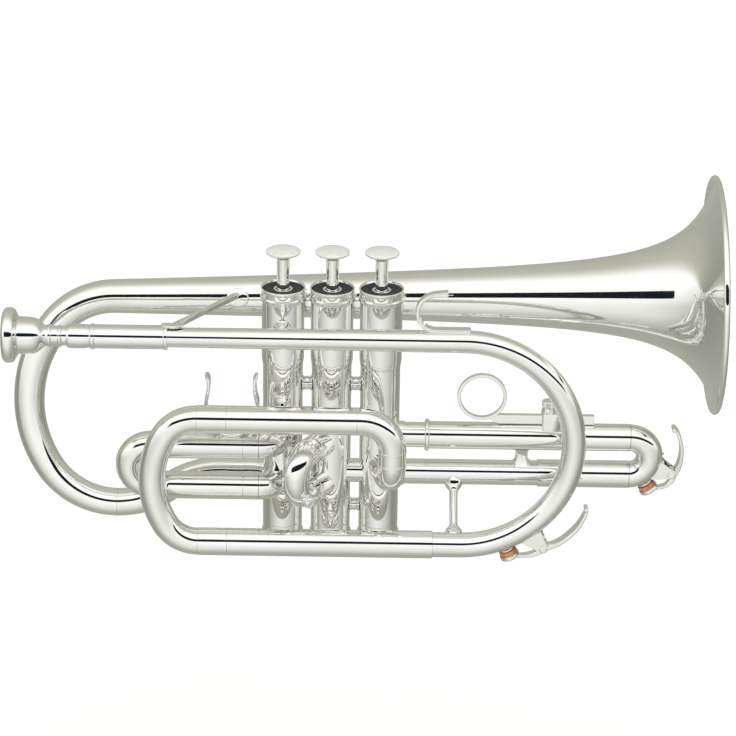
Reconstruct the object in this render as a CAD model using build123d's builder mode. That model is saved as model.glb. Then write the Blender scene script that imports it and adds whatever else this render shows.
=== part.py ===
from build123d import *
import math
import os

# A silver-plated cornet with a shepherd's-crook bell, in millimetres.
# +X points to the bell, +Z up along the valve stems, and +Y to the side away from the mouthpipe.
# The origin is on the second valve's axis, half way up the casings, where the hand grips.

os.makedirs("parts", exist_ok=True)

# Tubing: outer slide tube, inner slide tube, bent crook and the common bore
TUBE_R = 6.85
SLEEVE_BORE_R = 6.36
INNER_R = 6.30
CROOK_R = 6.55
BORE_R = 5.83

# Mouthpipe plane, with the three straight levels in it
LEAD_Y = -30.5
LEAD_Z = 54.4
MAIN_UPPER_Z = 11.7
MAIN_LOWER_Z = -54.2

# Mouthpiece and receiver
MOUTHPIECE_X = -157.4
SHANK_END_X = -91.0
RECEIVER_X = -126.7
RECEIVER_END_X = -78.4
LEAD_START_X = -88.0

# Mouthpipe bow
BOW_X = 64.4
BOW_END_X = 50.8
LEAD_START_R = 4.75
LEAD_SEAT_R = 4.86
LEAD_MID_R = 5.65
LEAD_END_R = 6.2
LEAD_WALL = 0.55

# Main slide
MAIN_LEFT_X = -50.3
MAIN_UPPER_END_X = 12.95
MAIN_SLEEVE_X = -64.7
MAIN_LEG_END_X = -6.0
MAIN_CORNER_R = 18.5
MAIN_CORNER_ARC = 60.0

# Inlet to the third valve
INLET_X = 30.3
INLET_BEND_R = 15.5
INLET_RINGS_Z = (-3.8, -11.0)
INLET_END_Z = -21.7

# Valves
VALVES = {"1": -24.0, "2": 0.0, "3": 24.0}
CASING_R = 9.8
CASING_TOP_R = 10.4
CASING_STEP_Z = 31.0
CASING_BOTTOM_Z = -60.0
CAP_Z = 62.8
NECK_TOP_Z = 66.4
NECK_R = 9.85
BORE_VALVE_R = 8.50
BORE_SPRING_R = 9.15
PISTON_R = 8.45
PISTON_BOTTOM_Z = -43.0
BARREL_Z = 22.0
BARREL_R = 8.2
BARREL_TOP_Z = 62.0
STEM_R = 3.1
BUTTON_Z = 85.5
BUTTON_R = 8.45
STROKE = 15.8

# First slide
FIRST_Y = -15.0
FIRST_Z = (-9.0, -30.8)
FIRST_ANGLE = 70.0
FIRST_JOINT_X = -35.2
FIRST_SLEEVE_X = -42.9
FIRST_CROOK_X = -88.4
SADDLE_X = -48.5

# Second slide, seen from above, as an angle from -Y towards -X
SECOND_ANGLE = 32.0
SECOND_Z = (-11.0, -32.5)
SECOND_REACH = 32.0
SECOND_SLEEVE_END = 17.0

# Third slide
THIRD_Z = (-8.5, -28.5)
THIRD_UPPER_X = 46.5
THIRD_LOWER_X = 103.1
THIRD_CROOK_X = 148.6
THIRD_INNER_END_X = 145.0
RING_X = 74.5
RING_Z = 12.6
CLAMP_X = (104.2, 119.5)

# Bell
BELL_Y = 27.0
BELL_PITCH = 1.0
BELL_Z0 = 54.3
BELL_START_X = -108.5
BELL_RIM_X = 190.0
BELL_WALL = 0.6
RIM_R = 59.5
RIM_WIRE_R = 1.6
CROOK_BOTTOM_Y = 5.0
CROOK_BOTTOM_Z = -50.4
TAIL_Z = -32.2
TAIL_TURN = 25.0
TAIL_SWING_R = 20.0
TAIL_R = 6.98

lead_plane = Plane.XZ.offset(-LEAD_Y)
lead_axis = Plane(origin=(0, LEAD_Y, LEAD_Z), x_dir=(1, 0, 0), z_dir=(0, -1, 0))


def save(piece, name):
    """Labels a finished piece and writes its file."""
    piece.part.label = name
    export_step(piece.part, f"parts/{name}.step")


def turned(plane, outline):
    """A turned piece: the outline is (along, radius) points, spun about the plane's x axis."""
    with BuildPart() as piece:
        with BuildSketch(plane):
            with BuildLine():
                Polyline(*outline, close=True)
            make_face()
        revolve(axis=Axis(plane.origin, plane.x_dir))
    return piece.part


def bent_tube(path, outer, inner):
    """A tube of one size along a path of lines and arcs."""
    with BuildPart() as piece:
        with BuildSketch(Plane(origin=path @ 0, z_dir=path % 0)):
            Circle(outer)
            if inner:
                Circle(inner, mode=Mode.SUBTRACT)
        sweep(path=path)
    return piece.part


def tapered_rod(path, radii, side):
    """A rod along a flat path, its radius going evenly through the radii given."""
    with BuildPart() as piece:
        for step, radius in enumerate(radii):
            place = step / (len(radii) - 1)
            with BuildSketch(Plane(origin=path @ place, x_dir=side, z_dir=path % place)):
                Circle(radius)
        sweep(path=path, multisection=True)
    return piece.part


def tapered_tube(path, radii, wall, side):
    """A tapered tube: a tapered rod with a thinner one taken out of it."""
    with BuildPart() as piece:
        add(tapered_rod(path, radii, side))
        add(tapered_rod(path, [radius - wall for radius in radii], side), mode=Mode.SUBTRACT)
    return piece.part


def straight_path(start, end):
    """A straight path between two points."""
    with BuildLine() as made:
        Line(start, end)
    return made.wires()[0]


def tube_between(start, end, outer, inner):
    """A straight tube between two points."""
    return bent_tube(straight_path(start, end), outer, inner)


def casing_cutters():
    """Rods the size of the three casings, to end tubes on the casings' walls."""
    cutters = []
    for valve_x in VALVES.values():
        cutters.append(Pos(valve_x, 0, 0) * Cylinder(CASING_R, 160))
    return cutters


def along(angle, reach, start=(0.0, 0.0)):
    """A point at a distance from a start, in plan, at an angle from +X."""
    turn = math.radians(angle)
    return (start[0] + reach * math.cos(turn), start[1] + reach * math.sin(turn))


def bell_radius(x):
    """The bell's outside radius at a distance along its axis."""
    return 9.25 + 0.01757 * x + 2509.0 / (210.0 - x) ** 1.342


# ---------------------------------------------------------------- mouthpiece and receiver

cup_outline = [
    (MOUTHPIECE_X + 0.9, 8.3),
    (MOUTHPIECE_X, 9.3),
    (MOUTHPIECE_X, 11.4),
    (MOUTHPIECE_X + 1.0, 12.9),
    (MOUTHPIECE_X + 2.6, 13.35),
    (MOUTHPIECE_X + 6.4, 13.35),
    (MOUTHPIECE_X + 7.7, 12.6),
    (MOUTHPIECE_X + 8.4, 9.9),
    (MOUTHPIECE_X + 14.6, 9.35),
    (MOUTHPIECE_X + 16.8, 8.7),
    (MOUTHPIECE_X + 19.6, 6.2),
    (MOUTHPIECE_X + 21.4, 5.2),
    (MOUTHPIECE_X + 22.2, 5.9),
    (MOUTHPIECE_X + 23.0, 5.2),
    (MOUTHPIECE_X + 27.0, 4.9),
    (MOUTHPIECE_X + 30.2, 4.75),
    (SHANK_END_X, 4.20),
    (SHANK_END_X, 3.6),
    (MOUTHPIECE_X + 22.0, 1.9),
    (MOUTHPIECE_X + 15.0, 2.2),
    (MOUTHPIECE_X + 11.0, 4.6),
    (MOUTHPIECE_X + 6.0, 7.2),
]
with BuildPart() as mouthpiece:
    add(turned(lead_axis, cup_outline))
save(mouthpiece, "mouthpiece")

receiver_outline = [
    (RECEIVER_X, 4.82),
    (RECEIVER_X, 5.45),
    (RECEIVER_X + 1.2, 5.75),
    (RECEIVER_X + 9.0, 5.75),
    (RECEIVER_X + 11.6, 5.55),
    (RECEIVER_X + 11.6, 6.2),
    (RECEIVER_X + 14.0, 6.2),
    (RECEIVER_X + 14.0, 5.85),
    (RECEIVER_END_X - 1.6, 5.85),
    (RECEIVER_END_X - 1.6, 6.15),
    (RECEIVER_END_X, 6.15),
    (RECEIVER_END_X, LEAD_SEAT_R),
    (LEAD_START_X, LEAD_SEAT_R),
    (LEAD_START_X, 4.3),
]
with BuildPart() as receiver:
    add(turned(lead_axis, receiver_outline))
save(receiver, "receiver")

# ---------------------------------------------------------------- mouthpipe

bow_r = (LEAD_Z - MAIN_LOWER_Z) / 2
with BuildLine(lead_plane) as lead_path:
    lead_top = Line((LEAD_START_X, LEAD_Z), (BOW_X, LEAD_Z))
    lead_bow = JernArc(lead_top @ 1, (1, 0), bow_r, -180)
    Line(lead_bow @ 1, (BOW_END_X, MAIN_LOWER_Z))
with BuildPart() as leadpipe:
    add(tapered_tube(lead_path.wires()[0], (LEAD_START_R, LEAD_MID_R, LEAD_END_R), LEAD_WALL, (0, 1, 0)))
save(leadpipe, "leadpipe")

# ---------------------------------------------------------------- main slide

main_spans = ((MAIN_UPPER_Z, MAIN_UPPER_END_X), (MAIN_LOWER_Z, BOW_END_X))
with BuildPart() as main_tubes:
    for level, end_x in main_spans:
        add(tube_between((MAIN_LEFT_X, LEAD_Y, level), (end_x, LEAD_Y, level), TUBE_R, SLEEVE_BORE_R))
save(main_tubes, "main_tubes")

with BuildPart() as main_legs:
    for level, _ in main_spans:
        add(tube_between((MAIN_SLEEVE_X, LEAD_Y, level), (MAIN_LEG_END_X, LEAD_Y, level), INNER_R, BORE_R))
        sleeve_start = (MAIN_SLEEVE_X, LEAD_Y, level)
        add(tube_between(sleeve_start, (MAIN_LEFT_X - 0.2, LEAD_Y, level), TUBE_R, BORE_R))
save(main_legs, "main_slide_legs")

main_drop = MAIN_UPPER_Z - MAIN_LOWER_Z
main_side_r = (main_drop / 2 - MAIN_CORNER_R * (1 - math.cos(math.radians(MAIN_CORNER_ARC)))) / math.cos(
    math.radians(MAIN_CORNER_ARC)
)
with BuildLine(lead_plane) as main_path:
    first = JernArc((MAIN_SLEEVE_X, MAIN_LOWER_Z), (-1, 0), MAIN_CORNER_R, -MAIN_CORNER_ARC)
    side = JernArc(first @ 1, first % 1, main_side_r, -(180 - 2 * MAIN_CORNER_ARC))
    JernArc(side @ 1, side % 1, MAIN_CORNER_R, -MAIN_CORNER_ARC)
with BuildPart() as main_crook:
    add(bent_tube(main_path.wires()[0], CROOK_R, BORE_R))
save(main_crook, "main_crook")

# ---------------------------------------------------------------- inlet elbow of the third valve

inlet_start_x = INLET_X - INLET_BEND_R
inlet_lower_r = INLET_RINGS_Z[1] - INLET_END_Z
inlet_run = (VALVES["3"] - INLET_X, -LEAD_Y, 0)
inlet_plane = Plane(
    origin=(INLET_X, LEAD_Y, INLET_RINGS_Z[1]),
    x_dir=inlet_run,
    z_dir=Vector(*inlet_run).cross(Vector(0, 0, 1)),
)
with BuildLine() as inlet_path:
    with BuildLine(lead_plane):
        reach = Line((MAIN_UPPER_END_X, MAIN_UPPER_Z), (inlet_start_x, MAIN_UPPER_Z))
        turn = JernArc(reach @ 1, (1, 0), INLET_BEND_R, -90)
        Line(turn @ 1, (INLET_X, INLET_RINGS_Z[1]))
    with BuildLine(inlet_plane):
        bend = JernArc((0, 0), (0, -1), inlet_lower_r, 90)
        Line(bend @ 1, (bend @ 1) + (bend % 1) * 14.0)
inlet_wire = inlet_path.wires()[0]
with BuildPart() as inlet_elbow:
    add(bent_tube(inlet_wire, TUBE_R, 0))
    for ring_z in INLET_RINGS_Z:
        with Locations((INLET_X, LEAD_Y, ring_z)):
            Cylinder(TUBE_R + 0.25, 1.0)
    add(bent_tube(inlet_wire, BORE_R, 0), mode=Mode.SUBTRACT)
    for cutter in casing_cutters():
        add(cutter, mode=Mode.SUBTRACT)
save(inlet_elbow, "inlet_elbow")

# ---------------------------------------------------------------- valve casings and caps

PORTS = {
    "1": (
        (180 + FIRST_ANGLE, FIRST_Z[0]),
        (180 + FIRST_ANGLE, FIRST_Z[1]),
        (180 - TAIL_TURN, TAIL_Z),
        (0, -0.5),
    ),
    "2": (
        (270 - SECOND_ANGLE, SECOND_Z[0]),
        (270 - SECOND_ANGLE, SECOND_Z[1]),
        (180, -0.5),
        (0, -28.4),
    ),
    "3": (
        (0, THIRD_Z[0]),
        (0, THIRD_Z[1]),
        (-78.3, INLET_END_Z),
        (180, -28.4),
    ),
}
casing_outline = [
    (CASING_BOTTOM_Z, BORE_VALVE_R),
    (CASING_BOTTOM_Z, 9.45),
    (CASING_BOTTOM_Z + 4.0, 9.45),
    (CASING_BOTTOM_Z + 4.0, CASING_R),
    (CASING_STEP_Z - 2.0, CASING_R),
    (CASING_STEP_Z - 1.9, CASING_R + 0.15),
    (CASING_STEP_Z + 1.4, CASING_TOP_R),
    (CAP_Z, CASING_TOP_R),
    (CAP_Z, NECK_R),
    (NECK_TOP_Z, NECK_R),
    (NECK_TOP_Z, BORE_SPRING_R),
    (CASING_STEP_Z, BORE_SPRING_R),
    (CASING_STEP_Z, BORE_VALVE_R),
]
for number, valve_x in VALVES.items():
    upright = Plane(origin=(valve_x, 0, 0), x_dir=(0, 0, 1), z_dir=(0, -1, 0))
    with BuildPart() as casing:
        add(turned(upright, casing_outline))
        for angle, port_z in PORTS[number]:
            heading = along(angle, 1.0)
            with Locations(Plane(origin=(valve_x, 0, port_z), z_dir=(heading[0], heading[1], 0))):
                Cylinder(BORE_R - 0.4, 14, align=(Align.CENTER, Align.CENTER, Align.MIN), mode=Mode.SUBTRACT)
    save(casing, f"casing_{number}")

top_cap_outline = [
    (CAP_Z, NECK_R),
    (CAP_Z, 10.95),
    (69.0, 10.95),
    (69.5, 10.5),
    (69.5, 9.6),
    (67.2, 9.6),
    (67.2, STEM_R + 0.35),
    (NECK_TOP_Z, STEM_R + 0.35),
    (NECK_TOP_Z, NECK_R),
]
bottom_cap_outline = [
    (-56.0, 9.45),
    (-56.0, CASING_R),
    (CASING_BOTTOM_Z - 0.3, CASING_R),
    (CASING_BOTTOM_Z - 0.9, 10.4),
    (-65.0, 10.4),
    (-66.5, 9.0),
    (-66.5, 4.2),
    (-68.0, 3.4),
    (-68.0, 1.2),
    (-65.4, 1.2),
    (-65.4, 8.6),
    (CASING_BOTTOM_Z, 8.6),
    (CASING_BOTTOM_Z, 9.45),
]
felt_outline = [(67.2, 4.95), (67.2, 9.5), (68.9, 9.5), (68.9, 4.95)]
under_felt_outline = [(63.5, 3.5), (63.5, 8.0), (NECK_TOP_Z, 8.0), (NECK_TOP_Z, 3.5)]


def three_turned(*outlines):
    """Turned pieces on each of the three valve axes."""
    with BuildPart() as pieces:
        for valve_x in VALVES.values():
            upright = Plane(origin=(valve_x, 0, 0), x_dir=(0, 0, 1), z_dir=(0, -1, 0))
            for outline in outlines:
                add(turned(upright, outline))
    return pieces


save(three_turned(top_cap_outline), "top_caps")
save(three_turned(bottom_cap_outline), "bottom_caps")
save(three_turned(felt_outline, under_felt_outline), "cap_felts")

with BuildPart() as valve_guides:
    for valve_x in VALVES.values():
        with Locations((valve_x, 0, CASING_STEP_Z + 1.5)):
            Box(4.0, 17.6, 3.0)
save(valve_guides, "valve_guides")

# ---------------------------------------------------------------- pistons, stems, buttons, springs


def spring_coil(radius, wire, height, turns):
    """A valve spring as a stack of closed rings joined by two rods, which keeps its free height."""
    with BuildPart() as coil:
        for turn in range(turns):
            ring_z = turn * (height - 2 * wire) / (turns - 1)
            with Locations((0, 0, ring_z)):
                Torus(radius, wire)
        with PolarLocations(radius, 2, start_angle=40):
            Cylinder(wire * 0.7, height - 2 * wire, align=(Align.CENTER, Align.CENTER, Align.MIN))
    return coil.part


for number, valve_x in VALVES.items():
    with BuildPart(Plane(origin=(valve_x, 0, 0))) as piston:
        with Locations((0, 0, PISTON_BOTTOM_Z)):
            Cylinder(PISTON_R, BARREL_Z - PISTON_BOTTOM_Z, align=(Align.CENTER, Align.CENTER, Align.MIN))
        with Locations((0, 0, PISTON_BOTTOM_Z + 1.5)):
            Cylinder(7.2, BARREL_Z - PISTON_BOTTOM_Z - 3.0, align=(Align.CENTER, Align.CENTER, Align.MIN),
                     mode=Mode.SUBTRACT)
        with Locations((0, 0, BARREL_Z)):
            Cylinder(BARREL_R, BARREL_TOP_Z - BARREL_Z, align=(Align.CENTER, Align.CENTER, Align.MIN))
            Cylinder(7.2, BARREL_TOP_Z - BARREL_Z - 2.0, align=(Align.CENTER, Align.CENTER, Align.MIN),
                     mode=Mode.SUBTRACT)
        with Locations((0, 0, CASING_STEP_Z - 0.5)):
            Box(4.4, 30, 3.9 + STROKE, align=(Align.CENTER, Align.CENTER, Align.MIN), mode=Mode.SUBTRACT)
        for angle, port_z in PORTS[number]:
            heading = along(angle, 1.0)
            with Locations(Plane(origin=(0, 0, port_z), z_dir=(heading[0], heading[1], 0))):
                Cylinder(4.6, 14, align=(Align.CENTER, Align.CENTER, Align.MIN), mode=Mode.SUBTRACT)
    save(piston, f"piston_{number}")

    stem_plane = Plane(origin=(valve_x, 0, 0), x_dir=(0, 0, 1), z_dir=(0, -1, 0))
    stem_outline = [
        (BARREL_TOP_Z, 0),
        (BARREL_TOP_Z, 6.0),
        (BARREL_TOP_Z + 1.2, 6.0),
        (BARREL_TOP_Z + 1.2, STEM_R),
        (BUTTON_Z, STEM_R),
        (BUTTON_Z, 4.4),
        (BUTTON_Z + 0.9, 7.4),
        (BUTTON_Z + 1.7, BUTTON_R),
        (BUTTON_Z + 2.9, BUTTON_R),
        (BUTTON_Z + 3.4, BUTTON_R - 0.5),
        (BUTTON_Z + 3.4, 7.1),
        (BUTTON_Z + 2.4, 7.1),
        (BUTTON_Z + 2.4, 0),
    ]
    with BuildPart() as stem:
        add(turned(stem_plane, stem_outline))
    save(stem, f"stem_{number}")

    pearl_outline = [
        (BUTTON_Z + 2.4, 0),
        (BUTTON_Z + 2.4, 7.05),
        (BUTTON_Z + 3.5, 7.05),
        (BUTTON_Z + 3.8, 5.0),
        (BUTTON_Z + 3.9, 0),
    ]
    with BuildPart() as pearl:
        add(turned(stem_plane, pearl_outline))
    save(pearl, f"pearl_{number}")

    with BuildPart() as spring:
        add(Pos(valve_x, 0, CASING_STEP_Z + 3.7) * spring_coil(5.6, 0.5, BARREL_TOP_Z - 37.3, 9))
    save(spring, f"valve_spring_{number}")

# ---------------------------------------------------------------- knuckles and casing ties


def between_casings(first_x, level, outer, inner):
    """A short tube or post from one casing to the next, ended on both walls."""
    with BuildPart() as piece:
        add(tube_between((first_x, 0, level), (first_x + 24.0, 0, level), outer, inner))
        for cutter in casing_cutters():
            add(cutter, mode=Mode.SUBTRACT)
    return piece.part


with BuildPart() as knuckles:
    add(between_casings(VALVES["1"], -0.5, 6.05, BORE_R - 0.4))
    add(between_casings(VALVES["2"], -28.4, 6.05, BORE_R - 0.4))
save(knuckles, "knuckles")

with BuildPart() as casing_ties:
    for first_x, level, radius in ((-24.0, 18.7, 3.5), (0.0, 18.7, 3.5), (0.0, -47.0, 3.0)):
        add(between_casings(first_x, level, radius, 0))
save(casing_ties, "casing_ties")

# ---------------------------------------------------------------- bell, crook and tail

pitch = math.radians(BELL_PITCH)
bell_dir = Vector(math.cos(pitch), 0, math.sin(pitch))
bell_plane = Plane(origin=(0, BELL_Y, BELL_Z0), x_dir=bell_dir, z_dir=(0, -1, 0))
STATIONS = (-108.5, -60, 0, 50, 90, 120, 145, 160, 170, 178, 184, 188)


def bell_line(depth):
    """Points of the bell's outline, moved inwards by a depth square to the wall."""
    points = []
    for x in STATIONS:
        slope = (bell_radius(x + 0.01) - bell_radius(x - 0.01)) / 0.02
        size = math.hypot(1, slope)
        points.append((x + depth * slope / size, bell_radius(x) - depth / size))
    return points


outer_line = bell_line(0.0)
inner_line = bell_line(BELL_WALL)
rim_back_x = BELL_RIM_X - 2.4
with BuildPart() as bell:
    with BuildSketch(bell_plane):
        with BuildLine():
            skin = Spline(*outer_line)
            throat = Spline(*inner_line)
            Line(skin @ 0, throat @ 0)
            Line(skin @ 1, throat @ 1)
        make_face()
    revolve(axis=Axis(bell_plane.origin, bell_plane.x_dir))
    with BuildSketch(bell_plane):
        with BuildLine():
            lip_in = outer_line[-1][1] - 1.0
            Polyline(
                (outer_line[-1][0] - 0.4, lip_in),
                (rim_back_x + 0.4, RIM_R - 1.6),
                (rim_back_x + 0.4, RIM_R - 0.7),
                (rim_back_x + 1.1, RIM_R),
                (BELL_RIM_X + 0.3, RIM_R),
                (BELL_RIM_X + 1.0, RIM_R - 0.7),
                (BELL_RIM_X + 1.0, RIM_R - 2.3),
                (inner_line[-1][0] + 0.1, lip_in),
                close=True,
            )
        make_face()
    revolve(axis=Axis(bell_plane.origin, bell_plane.x_dir))
save(bell, "bell")

# The crook bends from the bell's axis down to the level of the tail, in a plane that leans
crook_start = bell_plane.from_local_coords(Vector(BELL_START_X, 0, 0))
crook_fall = Vector(0, CROOK_BOTTOM_Y - BELL_Y, CROOK_BOTTOM_Z - crook_start.Z)
crook_h = crook_fall.length
CROOK_TOP = (38.5, 51.0)
CROOK_LOW = (41.0, 59.0)
crook_side_r = (
    crook_h
    - CROOK_TOP[0] * (1 - math.cos(math.radians(CROOK_TOP[1])))
    - CROOK_LOW[0] * (1 - math.cos(math.radians(CROOK_LOW[1])))
) / (math.cos(math.radians(CROOK_TOP[1])) + math.cos(math.radians(CROOK_LOW[1])))
crook_plane = Plane(origin=crook_start, x_dir=-bell_dir, z_dir=(-bell_dir).cross(crook_fall))
with BuildLine(crook_plane) as crook_path:
    top = JernArc((0, 0), (1, 0), CROOK_TOP[0], CROOK_TOP[1])
    back = JernArc(top @ 1, top % 1, crook_side_r, 180 - CROOK_TOP[1] - CROOK_LOW[1])
    JernArc(back @ 1, back % 1, CROOK_LOW[0], CROOK_LOW[1] - BELL_PITCH)
crook_wire = crook_path.wires()[0]
crook_normal = crook_plane.z_dir
with BuildPart() as bell_bow:
    add(tapered_tube(crook_wire, (bell_radius(BELL_START_X), 8.05, 7.6, 7.3, 7.0), BELL_WALL, crook_normal))
save(bell_bow, "bell_bow")

# The tail climbs in an S to the first casing's outlet
tail_start = crook_wire @ 1
tail_rise = TAIL_Z - tail_start.Z
TAIL_RUN = 53.0
tail_bend_r = (TAIL_RUN**2 + tail_rise**2) / (4 * tail_rise)
tail_arc = math.degrees(2 * math.atan(tail_rise / TAIL_RUN))
tail_plane = Plane(origin=(0, tail_start.Y, 0), x_dir=(1, 0, 0), z_dir=(0, -1, 0))
with BuildLine() as tail_path:
    with BuildLine(tail_plane):
        up = JernArc((tail_start.X + 0.05, tail_start.Z), (1, 0), tail_bend_r, tail_arc)
        level_off = JernArc(up @ 1, up % 1, tail_bend_r, -tail_arc)
        swing_reach = TAIL_SWING_R * math.tan(math.radians(TAIL_TURN / 2))
        tail_end_x = VALVES["1"] - tail_start.Y / math.tan(math.radians(TAIL_TURN)) - swing_reach
        Line(level_off @ 1, (tail_end_x, TAIL_Z))
    with BuildLine(Plane.XY.offset(TAIL_Z)):
        swing = JernArc((tail_end_x, tail_start.Y), (1, 0), TAIL_SWING_R, -TAIL_TURN)
        Line(swing @ 1, (VALVES["1"], 0))
with BuildPart() as bell_tail:
    add(bent_tube(tail_path.wires()[0], TAIL_R, BORE_R))
    for cutter in casing_cutters():
        add(cutter, mode=Mode.SUBTRACT)
save(bell_tail, "bell_tail")

# ---------------------------------------------------------------- first slide

turn_cos = math.cos(math.radians(FIRST_ANGLE))
turn_sin = math.sin(math.radians(FIRST_ANGLE))
elbow_run = VALVES["1"] - FIRST_JOINT_X
elbow_r = (-FIRST_Y * turn_cos - elbow_run * turn_sin) / (turn_cos * (1 - turn_cos) - turn_sin**2)
elbow_stub = (elbow_run - elbow_r * turn_sin) / turn_cos
with BuildPart() as first_tubes:
    for level in FIRST_Z:
        with BuildLine(Plane.XY.offset(level)) as elbow_path:
            stub = Line((VALVES["1"], 0), along(180 + FIRST_ANGLE, elbow_stub, (VALVES["1"], 0)))
            knee = JernArc(stub @ 1, stub % 1, elbow_r, -FIRST_ANGLE)
            Line(knee @ 1, (FIRST_SLEEVE_X, FIRST_Y))
        add(bent_tube(elbow_path.wires()[0], TUBE_R, BORE_R))
        inner_start = (FIRST_SLEEVE_X + 0.5, FIRST_Y, level)
        add(tube_between(inner_start, (FIRST_CROOK_X + 3.4, FIRST_Y, level), INNER_R, BORE_R))
    for cutter in casing_cutters():
        add(cutter, mode=Mode.SUBTRACT)
save(first_tubes, "first_slide_tubes")

with BuildPart() as first_sleeves:
    for level in FIRST_Z:
        sleeve_start = (FIRST_SLEEVE_X - 0.2, FIRST_Y, level)
        add(tube_between(sleeve_start, (FIRST_CROOK_X, FIRST_Y, level), TUBE_R, SLEEVE_BORE_R))
save(first_sleeves, "first_slide_sleeves")

first_crook_r = (FIRST_Z[0] - FIRST_Z[1]) / 2
with BuildLine(Plane.XZ.offset(-FIRST_Y)) as first_path:
    JernArc((FIRST_CROOK_X, FIRST_Z[1]), (-1, 0), first_crook_r, -180)
with BuildPart() as first_crook:
    add(bent_tube(first_path.wires()[0], CROOK_R, BORE_R))
save(first_crook, "first_slide_crook")

SADDLE_HALF = 12.5
SADDLE_BOTTOM_Z = -1.5
SADDLE_TIP_Z = 27.4
saddle_bend_z = SADDLE_BOTTOM_Z + SADDLE_HALF
with BuildLine(Plane.XZ.offset(-FIRST_Y)) as saddle_path:
    left = Line((SADDLE_X - SADDLE_HALF + 1.0, SADDLE_TIP_Z), (SADDLE_X - SADDLE_HALF, saddle_bend_z))
    right = Line((SADDLE_X + SADDLE_HALF, saddle_bend_z), (SADDLE_X + SADDLE_HALF - 1.0, SADDLE_TIP_Z))
    ThreePointArc(left @ 1, (SADDLE_X, SADDLE_BOTTOM_Z), right @ 0)
saddle_wire = saddle_path.wires()[0]
with BuildPart() as thumb_saddle:
    with BuildSketch(Plane(origin=saddle_wire @ 0, x_dir=(0, 1, 0), z_dir=saddle_wire % 0)):
        RectangleRounded(10.0, 1.6, 0.7)
    sweep(path=saddle_wire, transition=Transition.RIGHT)
    with Locations((SADDLE_X, FIRST_Y, SADDLE_BOTTOM_Z - 1.0)):
        Box(9.0, 7.0, 2.4)
    add(
        tube_between((-70, FIRST_Y, FIRST_Z[0]), (-30, FIRST_Y, FIRST_Z[0]), TUBE_R, 0),
        mode=Mode.SUBTRACT,
    )
save(thumb_saddle, "thumb_saddle")

# ---------------------------------------------------------------- second slide

second_out = Vector(*along(270 - SECOND_ANGLE, 1.0), 0)
second_plane = Plane(origin=(0, 0, 0), x_dir=second_out, z_dir=second_out.cross(Vector(0, 0, 1)))
second_crook_r = (SECOND_Z[0] - SECOND_Z[1]) / 2
second_bend_x = SECOND_REACH - second_crook_r
with BuildPart() as second_sleeves:
    for level in SECOND_Z:
        far_end = second_out * SECOND_SLEEVE_END + Vector(0, 0, level)
        add(tube_between((0, 0, level), far_end, TUBE_R, SLEEVE_BORE_R))
    for cutter in casing_cutters():
        add(cutter, mode=Mode.SUBTRACT)
save(second_sleeves, "second_slide_sleeves")

with BuildLine(second_plane) as second_path:
    JernArc((second_bend_x, SECOND_Z[1]), (1, 0), second_crook_r, 180)
with BuildPart() as second_crook:
    add(bent_tube(second_path.wires()[0], CROOK_R, BORE_R))
    for level in SECOND_Z:
        leg_start = second_out * (CASING_R + 0.6) + Vector(0, 0, level)
        leg_end = second_out * second_bend_x + Vector(0, 0, level)
        add(tube_between(leg_start, leg_end, INNER_R, BORE_R))
save(second_crook, "second_slide_crook")

second_side = Vector(0, 0, 1).cross(second_out)
knob_spot = second_plane.from_local_coords(
    Vector(
        second_bend_x + second_crook_r * math.cos(math.radians(45)),
        (SECOND_Z[0] + SECOND_Z[1]) / 2 - second_crook_r * math.sin(math.radians(45)),
        0,
    )
)
knob_dir = (second_side * 0.9 + second_out * 0.3 - Vector(0, 0, 0.25)).normalized()
knob_plane = Plane(origin=knob_spot, x_dir=knob_dir, z_dir=knob_dir.cross(Vector(0, 0, 1)))
knob_outline = [
    (CROOK_R - 1.2, 0),
    (CROOK_R - 1.2, 2.4),
    (CROOK_R + 0.4, 1.9),
    (CROOK_R + 1.0, 1.6),
    (CROOK_R + 1.6, 2.7),
    (CROOK_R + 2.8, 3.2),
    (CROOK_R + 4.0, 2.7),
    (CROOK_R + 4.6, 1.4),
    (CROOK_R + 4.7, 0),
]
with BuildPart() as second_knob:
    add(turned(knob_plane, knob_outline))
    add(bent_tube(second_path.wires()[0], CROOK_R, 0), mode=Mode.SUBTRACT)
save(second_knob, "second_slide_knob")

# ---------------------------------------------------------------- third slide

with BuildPart() as third_tubes:
    for level in THIRD_Z:
        add(tube_between((VALVES["3"], 0, level), (THIRD_INNER_END_X, 0, level), INNER_R, BORE_R))
    for cutter in casing_cutters():
        add(cutter, mode=Mode.SUBTRACT)
save(third_tubes, "third_slide_tubes")

with BuildPart() as third_sleeves:
    for level, start_x in zip(THIRD_Z, (THIRD_UPPER_X, THIRD_LOWER_X)):
        add(tube_between((start_x, 0, level), (THIRD_CROOK_X, 0, level), TUBE_R, SLEEVE_BORE_R))
    collar_start = (THIRD_UPPER_X, 0, THIRD_Z[0])
    add(tube_between(collar_start, (THIRD_UPPER_X + 2.3, 0, THIRD_Z[0]), 8.0, SLEEVE_BORE_R))
save(third_sleeves, "third_slide_sleeves")

third_crook_r = (THIRD_Z[0] - THIRD_Z[1]) / 2
third_mid_z = (THIRD_Z[0] + THIRD_Z[1]) / 2
with BuildLine(Plane.XZ) as third_path:
    JernArc((THIRD_CROOK_X, THIRD_Z[1]), (1, 0), third_crook_r, 180)
with BuildPart() as third_crook:
    add(bent_tube(third_path.wires()[0], CROOK_R, BORE_R))
save(third_crook, "third_slide_crook")

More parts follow.
